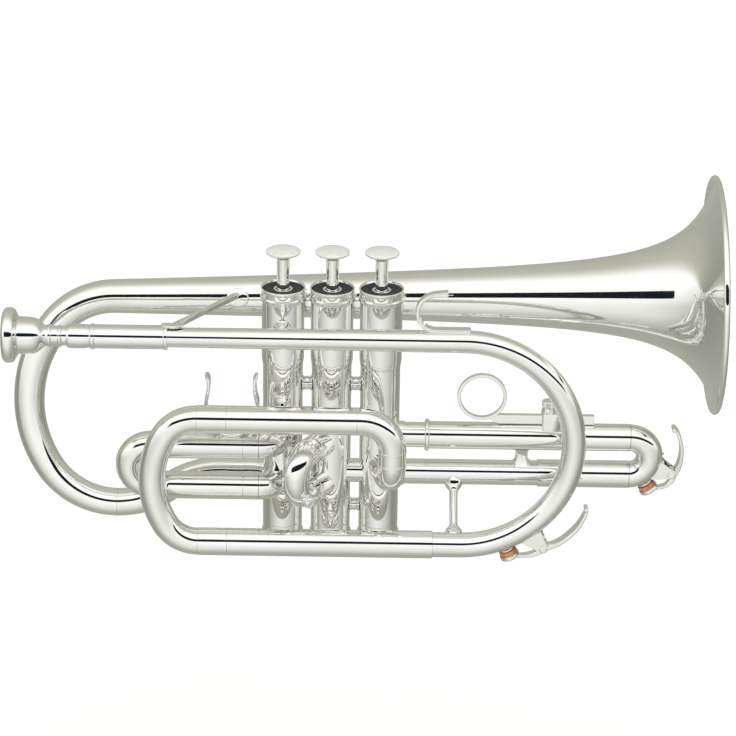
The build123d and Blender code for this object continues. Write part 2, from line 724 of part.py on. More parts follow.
# A waisted block on the fixed lower tube, hollowed on top to guide the moving upper sleeve
GUIDE_X = 95.0
with BuildPart() as third_guide:
    with BuildSketch(Plane.XZ):
        with BuildLine():
            low = Line((GUIDE_X - 4.6, -24.5), (GUIDE_X + 4.6, -24.5))
            high = Line((GUIDE_X + 3.1, -13.0), (GUIDE_X - 3.1, -13.0))
            ThreePointArc(low @ 1, (GUIDE_X + 3.0, third_mid_z), high @ 0)
            ThreePointArc(high @ 1, (GUIDE_X - 3.0, third_mid_z), low @ 0)
        make_face()
    extrude(amount=4.2, both=True)
    add(tube_between((80, 0, THIRD_Z[1]), (110, 0, THIRD_Z[1]), INNER_R, 0), mode=Mode.SUBTRACT)
    add(tube_between((80, 0, THIRD_Z[0]), (110, 0, THIRD_Z[0]), TUBE_R + 0.3, 0), mode=Mode.SUBTRACT)
save(third_guide, "third_slide_guide")

ROD_Z = (-1.3, 3.4)
ROD_HALF_Y = 1.5
ROD_END_X = 130.3
with BuildPart() as finger_ring:
    with BuildSketch(Plane.XZ):
        with Locations((RING_X, RING_Z)):
            Circle(12.2)
        with Locations(((RING_X + 7.5 + ROD_END_X) / 2, sum(ROD_Z) / 2)):
            Rectangle(ROD_END_X - RING_X - 7.5, ROD_Z[1] - ROD_Z[0])
        with Locations((RING_X, RING_Z)):
            Circle(10.6, mode=Mode.SUBTRACT)
    extrude(amount=ROD_HALF_Y, both=True)
save(finger_ring, "finger_ring")

CLAMP_TOP_Z = 5.5
SCREW_X = 107.6
with BuildPart() as ring_clamp:
    with Locations((sum(CLAMP_X) / 2, 0, CLAMP_TOP_Z)):
        Box(CLAMP_X[1] - CLAMP_X[0], 10.0, 10.5, align=(Align.CENTER, Align.CENTER, Align.MAX))
    fillet(ring_clamp.edges().filter_by(Axis.Z), 1.2)
    fillet(ring_clamp.faces().sort_by(Axis.Z)[-1].edges(), 0.8)
    with Locations((SCREW_X, 0, CLAMP_TOP_Z)):
        Cylinder(2.8, 2.0, align=(Align.CENTER, Align.CENTER, Align.MIN))
    with Locations((sum(CLAMP_X) / 2, 0, sum(ROD_Z) / 2)):
        Box(20.0, 2 * ROD_HALF_Y + 0.1, ROD_Z[1] - ROD_Z[0] + 0.1, mode=Mode.SUBTRACT)
    with Locations((SCREW_X, 0, sum(ROD_Z) / 2)):
        Cylinder(1.25, 12, align=(Align.CENTER, Align.CENTER, Align.MIN), mode=Mode.SUBTRACT)
    add(tube_between((100, 0, THIRD_Z[0]), (125, 0, THIRD_Z[0]), TUBE_R, 0), mode=Mode.SUBTRACT)
save(ring_clamp, "ring_clamp")

with BuildPart() as thumb_screw:
    with Locations((SCREW_X, 0, 3.5)):
        Cylinder(1.2, 5.0, align=(Align.CENTER, Align.CENTER, Align.MIN))
    with Locations((SCREW_X, 0, 7.9)):
        Cylinder(3.4, 3.3, align=(Align.CENTER, Align.CENTER, Align.MIN))
    fillet(thumb_screw.faces().sort_by(Axis.Z)[-1].edges(), 0.8)
save(thumb_screw, "thumb_screw")

# ---------------------------------------------------------------- posts, braces and hook


def post(start, end, start_r, end_r):
    """A post with a flared foot at each end, between two tubes' axes and from wall to wall."""
    start_at = Vector(*start)
    reach = Vector(*end) - start_at
    length = reach.length
    heading = reach.normalized()
    sideways = heading.cross(Vector(1, 0, 0))
    low = start_r - 0.9
    high = length - end_r + 0.9
    outline = [
        (low, 0),
        (low, 4.4),
        (low + 2.0, 4.2),
        (low + 3.4, 2.4),
        (low + 4.6, 2.0),
        (high - 4.6, 2.0),
        (high - 3.4, 2.4),
        (high - 2.0, 4.2),
        (high, 4.4),
        (high, 0),
    ]
    return turned(Plane(origin=start_at, x_dir=heading, z_dir=sideways), outline)


lead_solid = tapered_rod(lead_path.wires()[0], (LEAD_START_R, LEAD_MID_R, LEAD_END_R), (0, 1, 0))
BRACE_X = 61.35
with BuildPart() as third_brace:
    add(post((BRACE_X, 0, THIRD_Z[1]), (BRACE_X, LEAD_Y, MAIN_LOWER_Z), INNER_R, LEAD_END_R))
    add(tube_between((45, 0, THIRD_Z[1]), (75, 0, THIRD_Z[1]), INNER_R, 0), mode=Mode.SUBTRACT)
    add(lead_solid, mode=Mode.SUBTRACT)
save(third_brace, "third_slide_brace")


def short_post(start, end, start_r, end_r):
    """A post too short for flared feet: a plain waisted peg."""
    start_at = Vector(*start)
    reach = Vector(*end) - start_at
    heading = reach.normalized()
    low = start_r - 1.2
    high = reach.length - end_r + 1.2
    middle = (low + high) / 2
    outline = [(low, 0), (low, 3.6), (middle - 0.8, 2.2), (middle + 0.8, 2.2), (high, 3.6), (high, 0)]
    return turned(Plane(origin=start_at, x_dir=heading, z_dir=heading.cross(Vector(1, 0, 0))), outline)


def bell_core():
    """The bell's stem as one solid rod, to end the posts on its wall."""
    outline = [(-60, 0), (-60, bell_radius(-60)), (0, bell_radius(0)), (50, bell_radius(50)), (50, 0)]
    return turned(bell_plane, outline)


BELL_POST_Z = 54.0
LEAD_POST_DROP = 4.4
LOWER_POST_Z = -50.4
LEAD_POST_R = 5.1
TRIM_LENGTH = 30
with BuildPart() as valve_posts:
    for number in ("1", "3"):
        valve_x = VALVES[number]
        add(
            short_post(
                (valve_x, 0, BELL_POST_Z),
                (valve_x, BELL_Y, BELL_POST_Z),
                CASING_TOP_R,
                bell_radius(valve_x),
            )
        )
    add(bell_core(), mode=Mode.SUBTRACT)
    first_x = VALVES["1"]
    second_x = VALVES["2"]
    add(post((first_x, LEAD_Y, LEAD_Z), (first_x, 0, LEAD_Z - LEAD_POST_DROP), LEAD_POST_R, CASING_TOP_R))
    add(post((first_x, LEAD_Y, MAIN_UPPER_Z), (first_x, 0, MAIN_UPPER_Z), TUBE_R, CASING_R))
    add(post((second_x, LEAD_Y, MAIN_LOWER_Z), (second_x, 0, LOWER_POST_Z), TUBE_R, CASING_R))
    add(lead_solid, mode=Mode.SUBTRACT)
    for trim_x, level in ((first_x, MAIN_UPPER_Z), (second_x, MAIN_LOWER_Z)):
        with Locations(Plane(origin=(trim_x, LEAD_Y, level), z_dir=(1, 0, 0))):
            Cylinder(TUBE_R, TRIM_LENGTH, mode=Mode.SUBTRACT)
    for valve_x in VALVES.values():
        with Locations((valve_x, 0, LEAD_Z - LEAD_POST_DROP)):
            Cylinder(CASING_TOP_R, TRIM_LENGTH, mode=Mode.SUBTRACT)
        with Locations((valve_x, 0, MAIN_UPPER_Z)):
            Cylinder(CASING_R, TRIM_LENGTH, mode=Mode.SUBTRACT)
        with Locations((valve_x, 0, LOWER_POST_Z)):
            Cylinder(CASING_R, TRIM_LENGTH, mode=Mode.SUBTRACT)
save(valve_posts, "valve_posts")

strap_start = Vector(-76.0, LEAD_Y + 1.0, 58.4)
strap_end = Vector(-47.0, 18.6, 57.2)
strap_run = strap_end - strap_start
with BuildPart() as strap_brace:
    with BuildSketch(Plane(origin=strap_start, x_dir=(0, 0, 1), z_dir=strap_run)):
        RectangleRounded(3.6, 2.4, 1.0)
    extrude(amount=strap_run.length)
    with Locations((-76.0, LEAD_Y, LEAD_Z + 3.6)):
        Box(11.0, 7.4, 4.2)
    with Locations((-47.0, BELL_Y - 8.6, 55.0)):
        Box(11.0, 3.6, 9.0)
    add(lead_solid, mode=Mode.SUBTRACT)
    receiver_end = (RECEIVER_END_X + 0.05, LEAD_Y, LEAD_Z)
    add(tube_between((-82, LEAD_Y, LEAD_Z), receiver_end, 6.2, 0), mode=Mode.SUBTRACT)
    add(bell_core(), mode=Mode.SUBTRACT)
save(strap_brace, "bell_strap_brace")

HOOK_R = 9.2
HOOK_X = 50.4
HOOK_Z = 60.2
with BuildLine(lead_plane) as hook_path:
    foot = Line((HOOK_X + 16.0, HOOK_Z), (HOOK_X, HOOK_Z))
    curl = JernArc(foot @ 1, (-1, 0), HOOK_R, -176)
    Line(curl @ 1, (curl @ 1) + (curl % 1) * 5.5)
hook_wire = hook_path.wires()[0]
with BuildPart() as finger_hook:
    with BuildSketch(Plane(origin=hook_wire @ 0, x_dir=(0, 1, 0), z_dir=hook_wire % 0)):
        RectangleRounded(4.6, 1.6, 0.6)
    sweep(path=hook_wire)
    add(lead_solid, mode=Mode.SUBTRACT)
save(finger_hook, "finger_hook")

# ---------------------------------------------------------------- water keys


def polar(centre, radius, degrees):
    """A point in the X-Z plane at a radius and angle about a bend's centre."""
    turn = math.radians(degrees)
    return (centre[0] + radius * math.cos(turn), centre[1] + radius * math.sin(turn))


def water_key(prefix, plane_y, centre, wall_r, cork_angle, pivot, spine, tube):
    """A lever on two lugs whose cork shuts a nipple on the outside of a bend."""
    face = Plane.XZ.offset(-plane_y)
    pin_x, pin_z = polar(centre, *pivot)
    cork_at = Vector(centre[0], plane_y, centre[1])
    outward = Vector(math.cos(math.radians(cork_angle)), 0, math.sin(math.radians(cork_angle)))
    cork_plane = Plane(origin=cork_at, x_dir=outward, z_dir=(0, -1, 0))

    nipple_top = wall_r + 0.7
    with BuildPart() as seat:
        nipple = [(wall_r - 1.2, 1.6), (wall_r - 1.2, 3.4), (wall_r + 0.4, 3.1), (nipple_top, 2.9)]
        add(turned(cork_plane, nipple + [(nipple_top, 1.6)]))
        for lug_y in (-3.4, 3.4):
            with BuildSketch(face.offset(lug_y)):
                with BuildLine():
                    Polyline(
                        polar(centre, wall_r - 1.6, pivot[1] - 6.5 * 60 / wall_r),
                        polar(centre, pivot[0] + 0.4, pivot[1] - 2.3 * 60 / pivot[0]),
                        polar(centre, pivot[0] + 0.4, pivot[1] + 2.3 * 60 / pivot[0]),
                        polar(centre, wall_r - 1.6, pivot[1] + 4.5 * 60 / wall_r),
                        close=True,
                    )
                make_face()
                with Locations((pin_x, pin_z)):
                    Circle(2.4)
            extrude(amount=0.6, both=True)
        with Locations(Plane(origin=(pin_x, plane_y, pin_z), z_dir=(0, 1, 0))):
            Cylinder(1.2, 12, mode=Mode.SUBTRACT)
        add(tube, mode=Mode.SUBTRACT)
    save(seat, f"{prefix}_seat")

    with BuildPart() as pin:
        with Locations(Plane(origin=(pin_x, plane_y, pin_z), z_dir=(0, 1, 0))):
            Cylinder(1.2, 9.6)
        with Locations(Plane(origin=(pin_x, plane_y - 4.5, pin_z), z_dir=(0, 1, 0))):
            Cylinder(1.9, 0.8)
    save(pin, f"{prefix}_pin")

    with BuildPart() as lever:
        with BuildSketch(face):
            with BuildLine():
                rim = Spline(*[polar(centre, radius + half, angle) for angle, radius, half in spine])
                inside = Spline(*[polar(centre, radius - half, angle) for angle, radius, half in spine])
                Line(rim @ 0, inside @ 0)
                Line(rim @ 1, inside @ 1)
            make_face()
        extrude(amount=1.9, both=True)
        cup_start = wall_r + 2.9
        cup = [
            (cup_start, 4.42),
            (cup_start, 4.75),
            (cup_start + 2.0, 4.75),
            (cup_start + 2.6, 3.8),
            (cup_start + 2.6, 0),
            (cup_start + 0.9, 0),
            (cup_start + 0.9, 4.42),
        ]
        add(turned(cork_plane, cup))
        with Locations(Plane(origin=(pin_x, plane_y, pin_z), z_dir=(0, 1, 0))):
            Cylinder(2.5, 3.8)
            Cylinder(1.25, 12, mode=Mode.SUBTRACT)
    save(lever, f"{prefix}_lever")

    with BuildPart() as cork:
        cork_face = nipple_top + 0.05
        cork_back = wall_r + 3.75
        add(turned(cork_plane, [(cork_face, 0), (cork_face, 4.4), (cork_back, 4.4), (cork_back, 0)]))
    save(cork, f"{prefix}_cork")

    with BuildPart() as key_spring:
        with Locations(Plane(origin=(pin_x, plane_y + 2.35, pin_z), z_dir=(0, 1, 0))):
            Cylinder(2.1, 0.7)
            Cylinder(1.3, 0.7, mode=Mode.SUBTRACT)
        leg_end = polar(centre, wall_r + 1.0, pivot[1] + 3.0 * 60 / wall_r)
        leg_y = plane_y + 2.35
        add(
            tube_between((pin_x + 1.2, leg_y, pin_z + 1.2), (leg_end[0], leg_y, leg_end[1]), 0.35, 0)
        )
    save(key_spring, f"{prefix}_spring")


bow_centre = (BOW_X, (LEAD_Z + MAIN_LOWER_Z) / 2)
lead_spine = [
    (-65.6, 65.2, 0.8),
    (-61.0, 67.6, 0.9),
    (-56.5, 69.0, 1.4),
    (-52.8, 68.9, 2.2),
    (-48.5, 70.6, 1.3),
    (-44.0, 71.6, 1.0),
    (-37.0, 72.0, 0.9),
    (-31.5, 71.2, 0.8),
    (-28.4, 70.4, 0.7),
]
water_key("lead_key", LEAD_Y, bow_centre, bow_r + 6.05, -67.3, (67.9, -52.8), lead_spine, lead_solid)

third_spine = [
    (-49.0, 22.4, 0.9),
    (-40.0, 24.4, 0.9),
    (-30.0, 25.0, 1.4),
    (-21.7, 24.3, 2.0),
    (-12.0, 25.2, 1.4),
    (0.0, 25.7, 1.0),
    (14.0, 26.4, 0.9),
    (28.0, 26.9, 0.8),
    (35.6, 26.9, 0.7),
]
third_solid = bent_tube(third_path.wires()[0], CROOK_R, 0)
third_centre = (THIRD_CROOK_X, third_mid_z)
third_wall_r = third_crook_r + CROOK_R
water_key("third_key", 0.0, third_centre, third_wall_r, -59.3, (22.7, -21.7), third_spine, third_solid)
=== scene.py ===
import math

import bmesh
import bpy
from mathutils import Matrix, Quaternion, Vector


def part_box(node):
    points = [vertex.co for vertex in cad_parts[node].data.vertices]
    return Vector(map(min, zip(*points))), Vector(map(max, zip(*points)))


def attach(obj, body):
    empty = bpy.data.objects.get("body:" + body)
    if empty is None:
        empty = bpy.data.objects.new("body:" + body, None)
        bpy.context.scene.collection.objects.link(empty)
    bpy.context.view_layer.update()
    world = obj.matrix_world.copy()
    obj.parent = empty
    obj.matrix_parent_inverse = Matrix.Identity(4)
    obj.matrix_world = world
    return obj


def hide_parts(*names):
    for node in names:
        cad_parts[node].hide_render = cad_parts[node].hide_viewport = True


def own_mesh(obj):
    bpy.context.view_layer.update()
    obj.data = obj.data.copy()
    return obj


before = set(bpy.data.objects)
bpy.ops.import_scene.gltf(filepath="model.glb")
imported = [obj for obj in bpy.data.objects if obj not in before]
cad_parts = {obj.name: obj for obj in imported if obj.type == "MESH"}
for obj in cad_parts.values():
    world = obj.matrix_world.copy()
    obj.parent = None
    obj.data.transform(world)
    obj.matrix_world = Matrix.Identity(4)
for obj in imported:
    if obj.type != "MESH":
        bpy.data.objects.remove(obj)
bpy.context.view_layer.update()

# The looks of a silver-plated cornet. Lengths are in millimetres until a mesh is made.
# +X points to the bell, +Z up along the valve stems, +Y away from the mouthpipe.
MM = 0.001
X = Vector((1, 0, 0))
Y = Vector((0, 1, 0))
Z = Vector((0, 0, 1))

# Points round a tube, round a large turned piece and in a coil's turn, and degrees between a bend's rings
AROUND = 72
FINE = 96
COIL_STEPS = 28
ARC_STEP = 2.5
# How far a turned corner and a tube's lip are rounded, and the angle from which an edge stays sharp
EASE = 0.3
LIP = 0.16
SHARP_ANGLE = 38


def cosine(degrees):
    """The cosine of an angle in degrees."""
    return math.cos(math.radians(degrees))


def sine(degrees):
    """The sine of an angle in degrees."""
    return math.sin(math.radians(degrees))


def about(side, up, count):
    """Directions spaced evenly round a circle that two directions span."""
    turns = [2 * math.pi * step / count for step in range(count)]
    return [side * math.cos(turn) + up * math.sin(turn) for turn in turns]


def low(node):
    """The lowest corner of a CAD node."""
    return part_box(node)[0] / MM


def high(node):
    """The highest corner of a CAD node."""
    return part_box(node)[1] / MM


def middle(node):
    """The middle of a CAD node's box."""
    return (low(node) + high(node)) / 2


# Tubing: outer slide tube, inner slide tube, crook, wall, bore and the outer tubes' inside
TUBE_R = 6.85
INNER_R = 6.30
CROOK_R = 6.55
TUBE_WALL = 0.5
BORE_R = 5.83
SLEEVE_BORE_R = 6.36

# Levels and planes read from the frame
LEAD_Y = middle("mouthpiece").y
LEAD_Z = middle("mouthpiece").z
MAIN_UPPER_Z = high("main_tubes").z - TUBE_R
MAIN_LOWER_Z = low("main_tubes").z + TUBE_R
MAIN_LEFT_X = low("main_tubes").x
BOW_END_X = high("main_tubes").x
MAIN_SLEEVE_X = low("main_slide_legs").x
MAIN_LEG_END_X = high("main_slide_legs").x
INLET_START_X = low("inlet_elbow").x
FIRST_Y = middle("first_slide_crook").y
FIRST_LEVELS = (high("first_slide_crook").z - CROOK_R, low("first_slide_crook").z + CROOK_R)
FIRST_CROOK_X = high("first_slide_crook").x
FIRST_SLEEVE_X = high("first_slide_sleeves").x
SECOND_LEVELS = (high("second_slide_crook").z - CROOK_R, low("second_slide_crook").z + CROOK_R)
THIRD_LEVELS = (high("third_slide_crook").z - CROOK_R, low("third_slide_crook").z + CROOK_R)
THIRD_CROOK_X = low("third_slide_crook").x
THIRD_UPPER_X = low("third_slide_sleeves").x
THIRD_INNER_END_X = high("third_slide_tubes").x
VALVES = {number: middle(f"stem_{number}").x for number in "123"}

# --- materials ---


def node(tree, kind, **settings):
    """A node in a tree, with settings on its input sockets or its properties."""
    new = tree.nodes.new(kind)
    for key, value in settings.items():
        socket = key.replace("_", " ")
        if socket in new.inputs:
            new.inputs[socket].default_value = value
        else:
            setattr(new, key, value)
    return new


def ramp(tree, value, stops):
    """A value turned into colours, by stops of place and colour."""
    band = node(tree, "ShaderNodeValToRGB")
    elements = band.color_ramp.elements
    while len(elements) < len(stops):
        elements.new(0.5)
    for element, (place, colour) in zip(elements, stops):
        element.position = place
        element.color = (*colour, 1)
    tree.links.new(value, band.inputs["Fac"])
    return band.outputs["Color"]


def material(name, base, metallic, rough, **others):
    """A new material and its node tree, ready for nodes that vary it."""
    made = bpy.data.materials.new(name)
    made.use_nodes = True
    settings = {"Base Color": (*base, 1), "Metallic": metallic, "Roughness": rough}
    settings.update({key.replace("_", " "): value for key, value in others.items()})
    for key, value in settings.items():
        shader_input(made.node_tree, key).default_value = value
    return made, made.node_tree


def shader_input(tree, name):
    """An input of a material's shader."""
    return tree.nodes["Principled BSDF"].inputs[name]


def noise(tree, scale, detail=4.0, stretch=(1, 1, 1), rough=0.5):
    """Noise over the object's own coordinates, in metres."""
    place = node(tree, "ShaderNodeTexCoord")
    size = node(tree, "ShaderNodeMapping", Scale=stretch)
    grain = node(tree, "ShaderNodeTexNoise", Scale=scale, Detail=detail, Roughness=rough)
    tree.links.new(place.outputs["Object"], size.inputs["Vector"])
    tree.links.new(size.outputs["Vector"], grain.inputs["Vector"])
    return grain.outputs["Fac"]


def roughness(tree, value, start, end):
    """Roughness that a noise value moves over a range."""
    span = node(tree, "ShaderNodeMapRange", From_Min=0.3, From_Max=0.7, To_Min=start, To_Max=end)
    tree.links.new(value, span.inputs["Value"])
    tree.links.new(span.outputs["Result"], shader_input(tree, "Roughness"))


def colours(tree, value, *stops):
    """A base colour that a noise value picks."""
    tree.links.new(ramp(tree, value, stops), shader_input(tree, "Base Color"))


def bump(tree, height, strength, distance):
    """Small relief from a height value."""
    relief = node(tree, "ShaderNodeBump", Strength=strength, Distance=distance)
    tree.links.new(height, relief.inputs["Height"])
    tree.links.new(relief.outputs["Normal"], shader_input(tree, "Normal"))


def polished_silver():
    made, tree = material("polished_silver", (0.95, 0.945, 0.925), 1.0, 0.04)
    colours(tree, noise(tree, 45, 3), (0.35, (0.925, 0.918, 0.89)), (0.65, (0.96, 0.957, 0.945)))
    roughness(tree, noise(tree, 260, 5), 0.03, 0.065)
    bump(tree, noise(tree, 320, 2), 0.02, 0.00004)
    return made


def lapped_piston():
    made, tree = material("lapped_piston", (0.70, 0.70, 0.67), 1.0, 0.28)
    rings = noise(tree, 800, 3, (0.2, 0.2, 6))
    roughness(tree, rings, 0.2, 0.36)
    colours(tree, rings, (0.3, (0.64, 0.64, 0.61)), (0.7, (0.75, 0.75, 0.73)))
    bump(tree, rings, 0.15, 0.00003)
    return made


def spring_wire():
    made, tree = material("spring_wire", (0.42, 0.41, 0.38), 1.0, 0.3)
    drawn = noise(tree, 900, 4)
    roughness(tree, drawn, 0.22, 0.42)
    colours(tree, drawn, (0.3, (0.33, 0.32, 0.30)), (0.7, (0.50, 0.49, 0.46)))
    return made


def black_felt():
    sheen = {"Sheen_Weight": 0.15, "Specular_IOR_Level": 0.2}
    made, tree = material("black_felt", (0.012, 0.012, 0.015), 0.0, 0.95, **sheen)
    wool = noise(tree, 1800, 8, rough=0.7)
    colours(tree, wool, (0.3, (0.004, 0.004, 0.006)), (0.75, (0.028, 0.028, 0.034)))
    bump(tree, wool, 0.8, 0.0004)
    return made


def red_cork():
    made, tree = material("red_cork", (0.42, 0.16, 0.09), 0.0, 0.75)
    place = node(tree, "ShaderNodeTexCoord")
    cell = node(tree, "ShaderNodeTexVoronoi", Scale=900.0)
    tree.links.new(place.outputs["Object"], cell.inputs["Vector"])
    dark, mid, pale = (0.20, 0.065, 0.035), (0.46, 0.18, 0.10), (0.62, 0.30, 0.19)
    colours(tree, noise(tree, 500, 6, rough=0.65), (0.32, dark), (0.5, mid), (0.72, pale))
    bump(tree, cell.outputs["Distance"], 0.5, 0.0003)
    return made


def button_pearl():
    coat = {"Coat_Weight": 0.6, "Coat_Roughness": 0.04}
    made, tree = material("button_pearl", (0.80, 0.81, 0.80), 0.0, 0.14, **coat)
    place = node(tree, "ShaderNodeTexCoord")
    swirl = node(tree, "ShaderNodeTexNoise", Scale=160.0, Detail=3.0, Distortion=2.2)
    tree.links.new(place.outputs["Object"], swirl.inputs["Vector"])
    dark, mid, pale, cool = (0.60, 0.61, 0.60), (0.67, 0.68, 0.66), (0.71, 0.70, 0.68), (0.63, 0.65, 0.65)
    colours(tree, swirl.outputs["Fac"], (0.30, dark), (0.48, mid), (0.56, pale), (0.70, cool))
    return made


def moulded_nylon():
    made, tree = material("moulded_nylon", (0.86, 0.85, 0.80), 0.0, 0.45)
    mottle = noise(tree, 400, 4)
    colours(tree, mottle, (0.3, (0.82, 0.81, 0.75)), (0.7, (0.89, 0.88, 0.84)))
    roughness(tree, mottle, 0.38, 0.55)
    return made


def pale_floor():
    made, tree = material("pale_floor", (0.9, 0.9, 0.9), 0.0, 0.9, Specular_IOR_Level=0.0)
    colours(tree, noise(tree, 3, 3), (0.3, (0.90, 0.90, 0.90)), (0.7, (0.92, 0.92, 0.92)))
    return made


def black_card():
    made, tree = material("black_card", (0.012, 0.015, 0.018), 0.0, 1.0, Specular_IOR_Level=0.0)
    colours(tree, noise(tree, 40, 3), (0.3, (0.008, 0.011, 0.014)), (0.7, (0.014, 0.018, 0.022)))
    return made


FINISHES = {
    "silver": polished_silver(),
    "piston_alloy": lapped_piston(),
    "spring_steel": spring_wire(),
    "felt": black_felt(),
    "cork": red_cork(),
    "pearl": button_pearl(),
    "guide_plastic": moulded_nylon(),
}

# --- mesh helpers ---


def skin(rings, closed=True):
    """A mesh skinned over rings of points: its last ring joins its first, or both ends are closed."""
    shell = bmesh.new()
    grid = [[shell.verts.new(point * MM) for point in ring] for ring in rings]
    pairs = list(zip(grid, grid[1:]))
    if closed:
        pairs.append((grid[-1], grid[0]))
    for one, other in pairs:
        for this in range(len(one)):
            following = (this + 1) % len(one)
            shell.faces.new((one[this], one[following], other[following], other[this]))
    if not closed:
        shell.faces.new(grid[0][::-1])
        shell.faces.new(grid[-1])
    bmesh.ops.remove_doubles(shell, verts=shell.verts, dist=1e-7)
    bmesh.ops.recalc_face_normals(shell, faces=shell.faces)
    return shell


def piece(name, shells, cad_node, body="horn", slot="silver"):
    """A named piece from one or more shells, finished, riding on its body and standing for its CAD node."""
    whole = bmesh.new()
    for shell in shells:
        part = bpy.data.meshes.new("part")
        shell.to_mesh(part)
        shell.free()
        whole.from_mesh(part)
        bpy.data.meshes.remove(part)
    mesh = bpy.data.meshes.new(name)
    for face in whole.faces:
        face.smooth = True
    whole.to_mesh(mesh)
    whole.free()
    mesh.set_sharp_from_angle(angle=math.radians(SHARP_ANGLE))
    mesh.materials.append(FINISHES[slot])
    made = bpy.data.objects.new(name, mesh)
    bpy.context.scene.collection.objects.link(made)
    even = made.modifiers.new("even_shading", "WEIGHTED_NORMAL")
    even.keep_sharp = True
    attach(made, body)
    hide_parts(cad_node)
    return made


class Route:
    """A path of straight runs and round bends, kept as stations of place, heading, side and distance."""

    def __init__(self, start, heading, side):
        self.at = Vector(start)
        self.heading = Vector(heading).normalized()
        self.side = Vector(side).normalized()
        self.length = 0.0
        self.stations = []
        self.mark()

    def mark(self):
        self.stations.append((self.at.copy(), self.heading.copy(), self.side.copy(), self.length))

    def run(self, length, steps=1):
        for _ in range(steps):
            self.at += self.heading * (length / steps)
            self.length += length / steps
            self.mark()
        return self

    def bend(self, radius, degrees, towards):
        """A bend of a radius through an angle, towards a direction square to the heading."""
        axis = self.heading.cross(Vector(towards)).normalized()
        centre = self.at + axis.cross(self.heading) * radius
        steps = max(2, math.ceil(degrees / ARC_STEP))
        turn = Quaternion(axis, math.radians(degrees / steps))
        for _ in range(steps):
            self.at = centre + turn @ (self.at - centre)
            self.heading = turn @ self.heading
            self.side = turn @ self.side
            self.length += radius * math.radians(degrees / steps)
            self.mark()
        return self

    def inwards(self, towards):
        """A direction made square to the heading, for a bend."""
        wanted = Vector(towards)
        return (wanted - self.heading * wanted.dot(self.heading)).normalized()


def onto(point, heading, bar, leaving=False):
    """Where a line through a point meets a round bar, given as place, direction and radius."""
    place, direction, radius = bar
    offset = point - place
    offset -= direction * offset.dot(direction)
    run = heading - direction * heading.dot(direction)
    a = run.dot(run)
    b = offset.dot(run)
    root = math.sqrt(max(b * b - a * (offset.dot(offset) - radius * radius), 0.0))
    return point + heading * (((root if leaving else -root) - b) / a)


def circle(station, radius, around=AROUND, shift=0.0):
    """A ring of points round a station."""
    at, heading, side, _ = station
    return [at + heading * shift + out * radius for out in about(side, heading.cross(side), around)]


def tube(route, radius, wall=TUBE_WALL, start=None, end=None, lips=(LIP, LIP)):
    """A tube along a route, or a rod where the wall is None.

    The radius is a number or a function of the share of the way. start and end are bars that an end
    is fitted to. lips are how far a free end's edge is rounded off."""
    size = radius if callable(radius) else (lambda share: radius)
    stations = route.stations
    sizes = [size(station[3] / route.length) for station in stations]
    outer = [circle(station, r) for station, r in zip(stations, sizes)]
    inner = [circle(station, r - (wall or 0)) for station, r in zip(stations, sizes)]
    first, last = stations[0], stations[-1]
    for rings in (outer, inner):
        if start:
            rings[0] = [onto(point, first[1], start, True) for point in rings[0]]
        if end:
            rings[-1] = [onto(point, last[1], end) for point in rings[-1]]
    if lips[0] and not start:
        outer[0] = circle(first, sizes[0], shift=lips[0])
        outer.insert(0, circle(first, sizes[0] - 0.3 * lips[0], shift=0.3 * lips[0]))
        outer.insert(0, circle(first, sizes[0] - lips[0]))
    if lips[1] and not end:
        outer[-1] = circle(last, sizes[-1], shift=-lips[1])
        outer.append(circle(last, sizes[-1] - 0.3 * lips[1], shift=-0.3 * lips[1]))
        outer.append(circle(last, sizes[-1] - lips[1]))
    if wall is None:
        return skin(outer, closed=False)
    return skin(outer + inner[::-1])


def level_route(start_x, end_x, y, z):
    """A straight level route along the horn."""
    return Route((start_x, y, z), X, Z).run(end_x - start_x)


def level_tube(start_x, end_x, y, z, radius, inner):
    """A straight level tube with rounded ends."""
    return tube(level_route(start_x, end_x, y, z), radius, radius - inner)


def graded(radii):
    """A radius that goes evenly through several values along the way."""

    def radius(share):
        place = share * (len(radii) - 1)
        index = min(int(place), len(radii) - 2)
        return radii[index] + (radii[index + 1] - radii[index]) * (place - index)

    return radius


def eased(outline, ease):
    """An outline with each corner off the axis rounded."""
    points = []
    for index, here in enumerate(outline):
        before = Vector(outline[index - 1])
        after = Vector(outline[(index + 1) % len(outline)])
        here = Vector(here)
        back, ahead = before - here, after - here
        turn = math.degrees((-back).angle(ahead, 0.0))
        if here.y < 1e-6 or turn < 12:
            points.append(here)
            continue
        cut = min(ease, 0.45 * back.length, 0.45 * ahead.length)
        one, other = here + back.normalized() * cut, here + ahead.normalized() * cut
        for share in (0.0, 0.25, 0.5, 0.75, 1.0):
            points.append(one.lerp(here, share).lerp(here.lerp(other, share), share))
    return points


def turned(outline, at, axis, ease=EASE, around=AROUND, knurl=None):
    """A turned piece: (along, radius) points spun about an axis. knurl is (from, to, ridges, depth)."""
    axis = Vector(axis).normalized()
    side = axis.orthogonal().normalized()
    directions = about(side, axis.cross(side), around)
    rings = []
    for along, radius in eased(outline, ease):
        reaches = [radius] * around
        if knurl and knurl[0] <= along <= knurl[1]:
            waves = [0.5 + 0.5 * math.cos(2 * math.pi * knurl[2] * step / around) for step in range(around)]
            reaches = [radius - knurl[3] * wave for wave in waves]
        rings.append([Vector(at) + axis * along + out * reach for out, reach in zip(directions, reaches)])
    return skin(rings)


def rounded_section(width, height, corner):
    """A rounded rectangle as points about its middle."""
    points = []
    for quarter, (across, up) in enumerate(((1, 1), (-1, 1), (-1, -1), (1, -1))):
        centre = Vector((across * (width / 2 - corner), up * (height / 2 - corner)))
        for step in range(5):
            angle = 90 * quarter + 22.5 * step
            points.append(centre + corner * Vector((cosine(angle), sine(angle))))
    return points


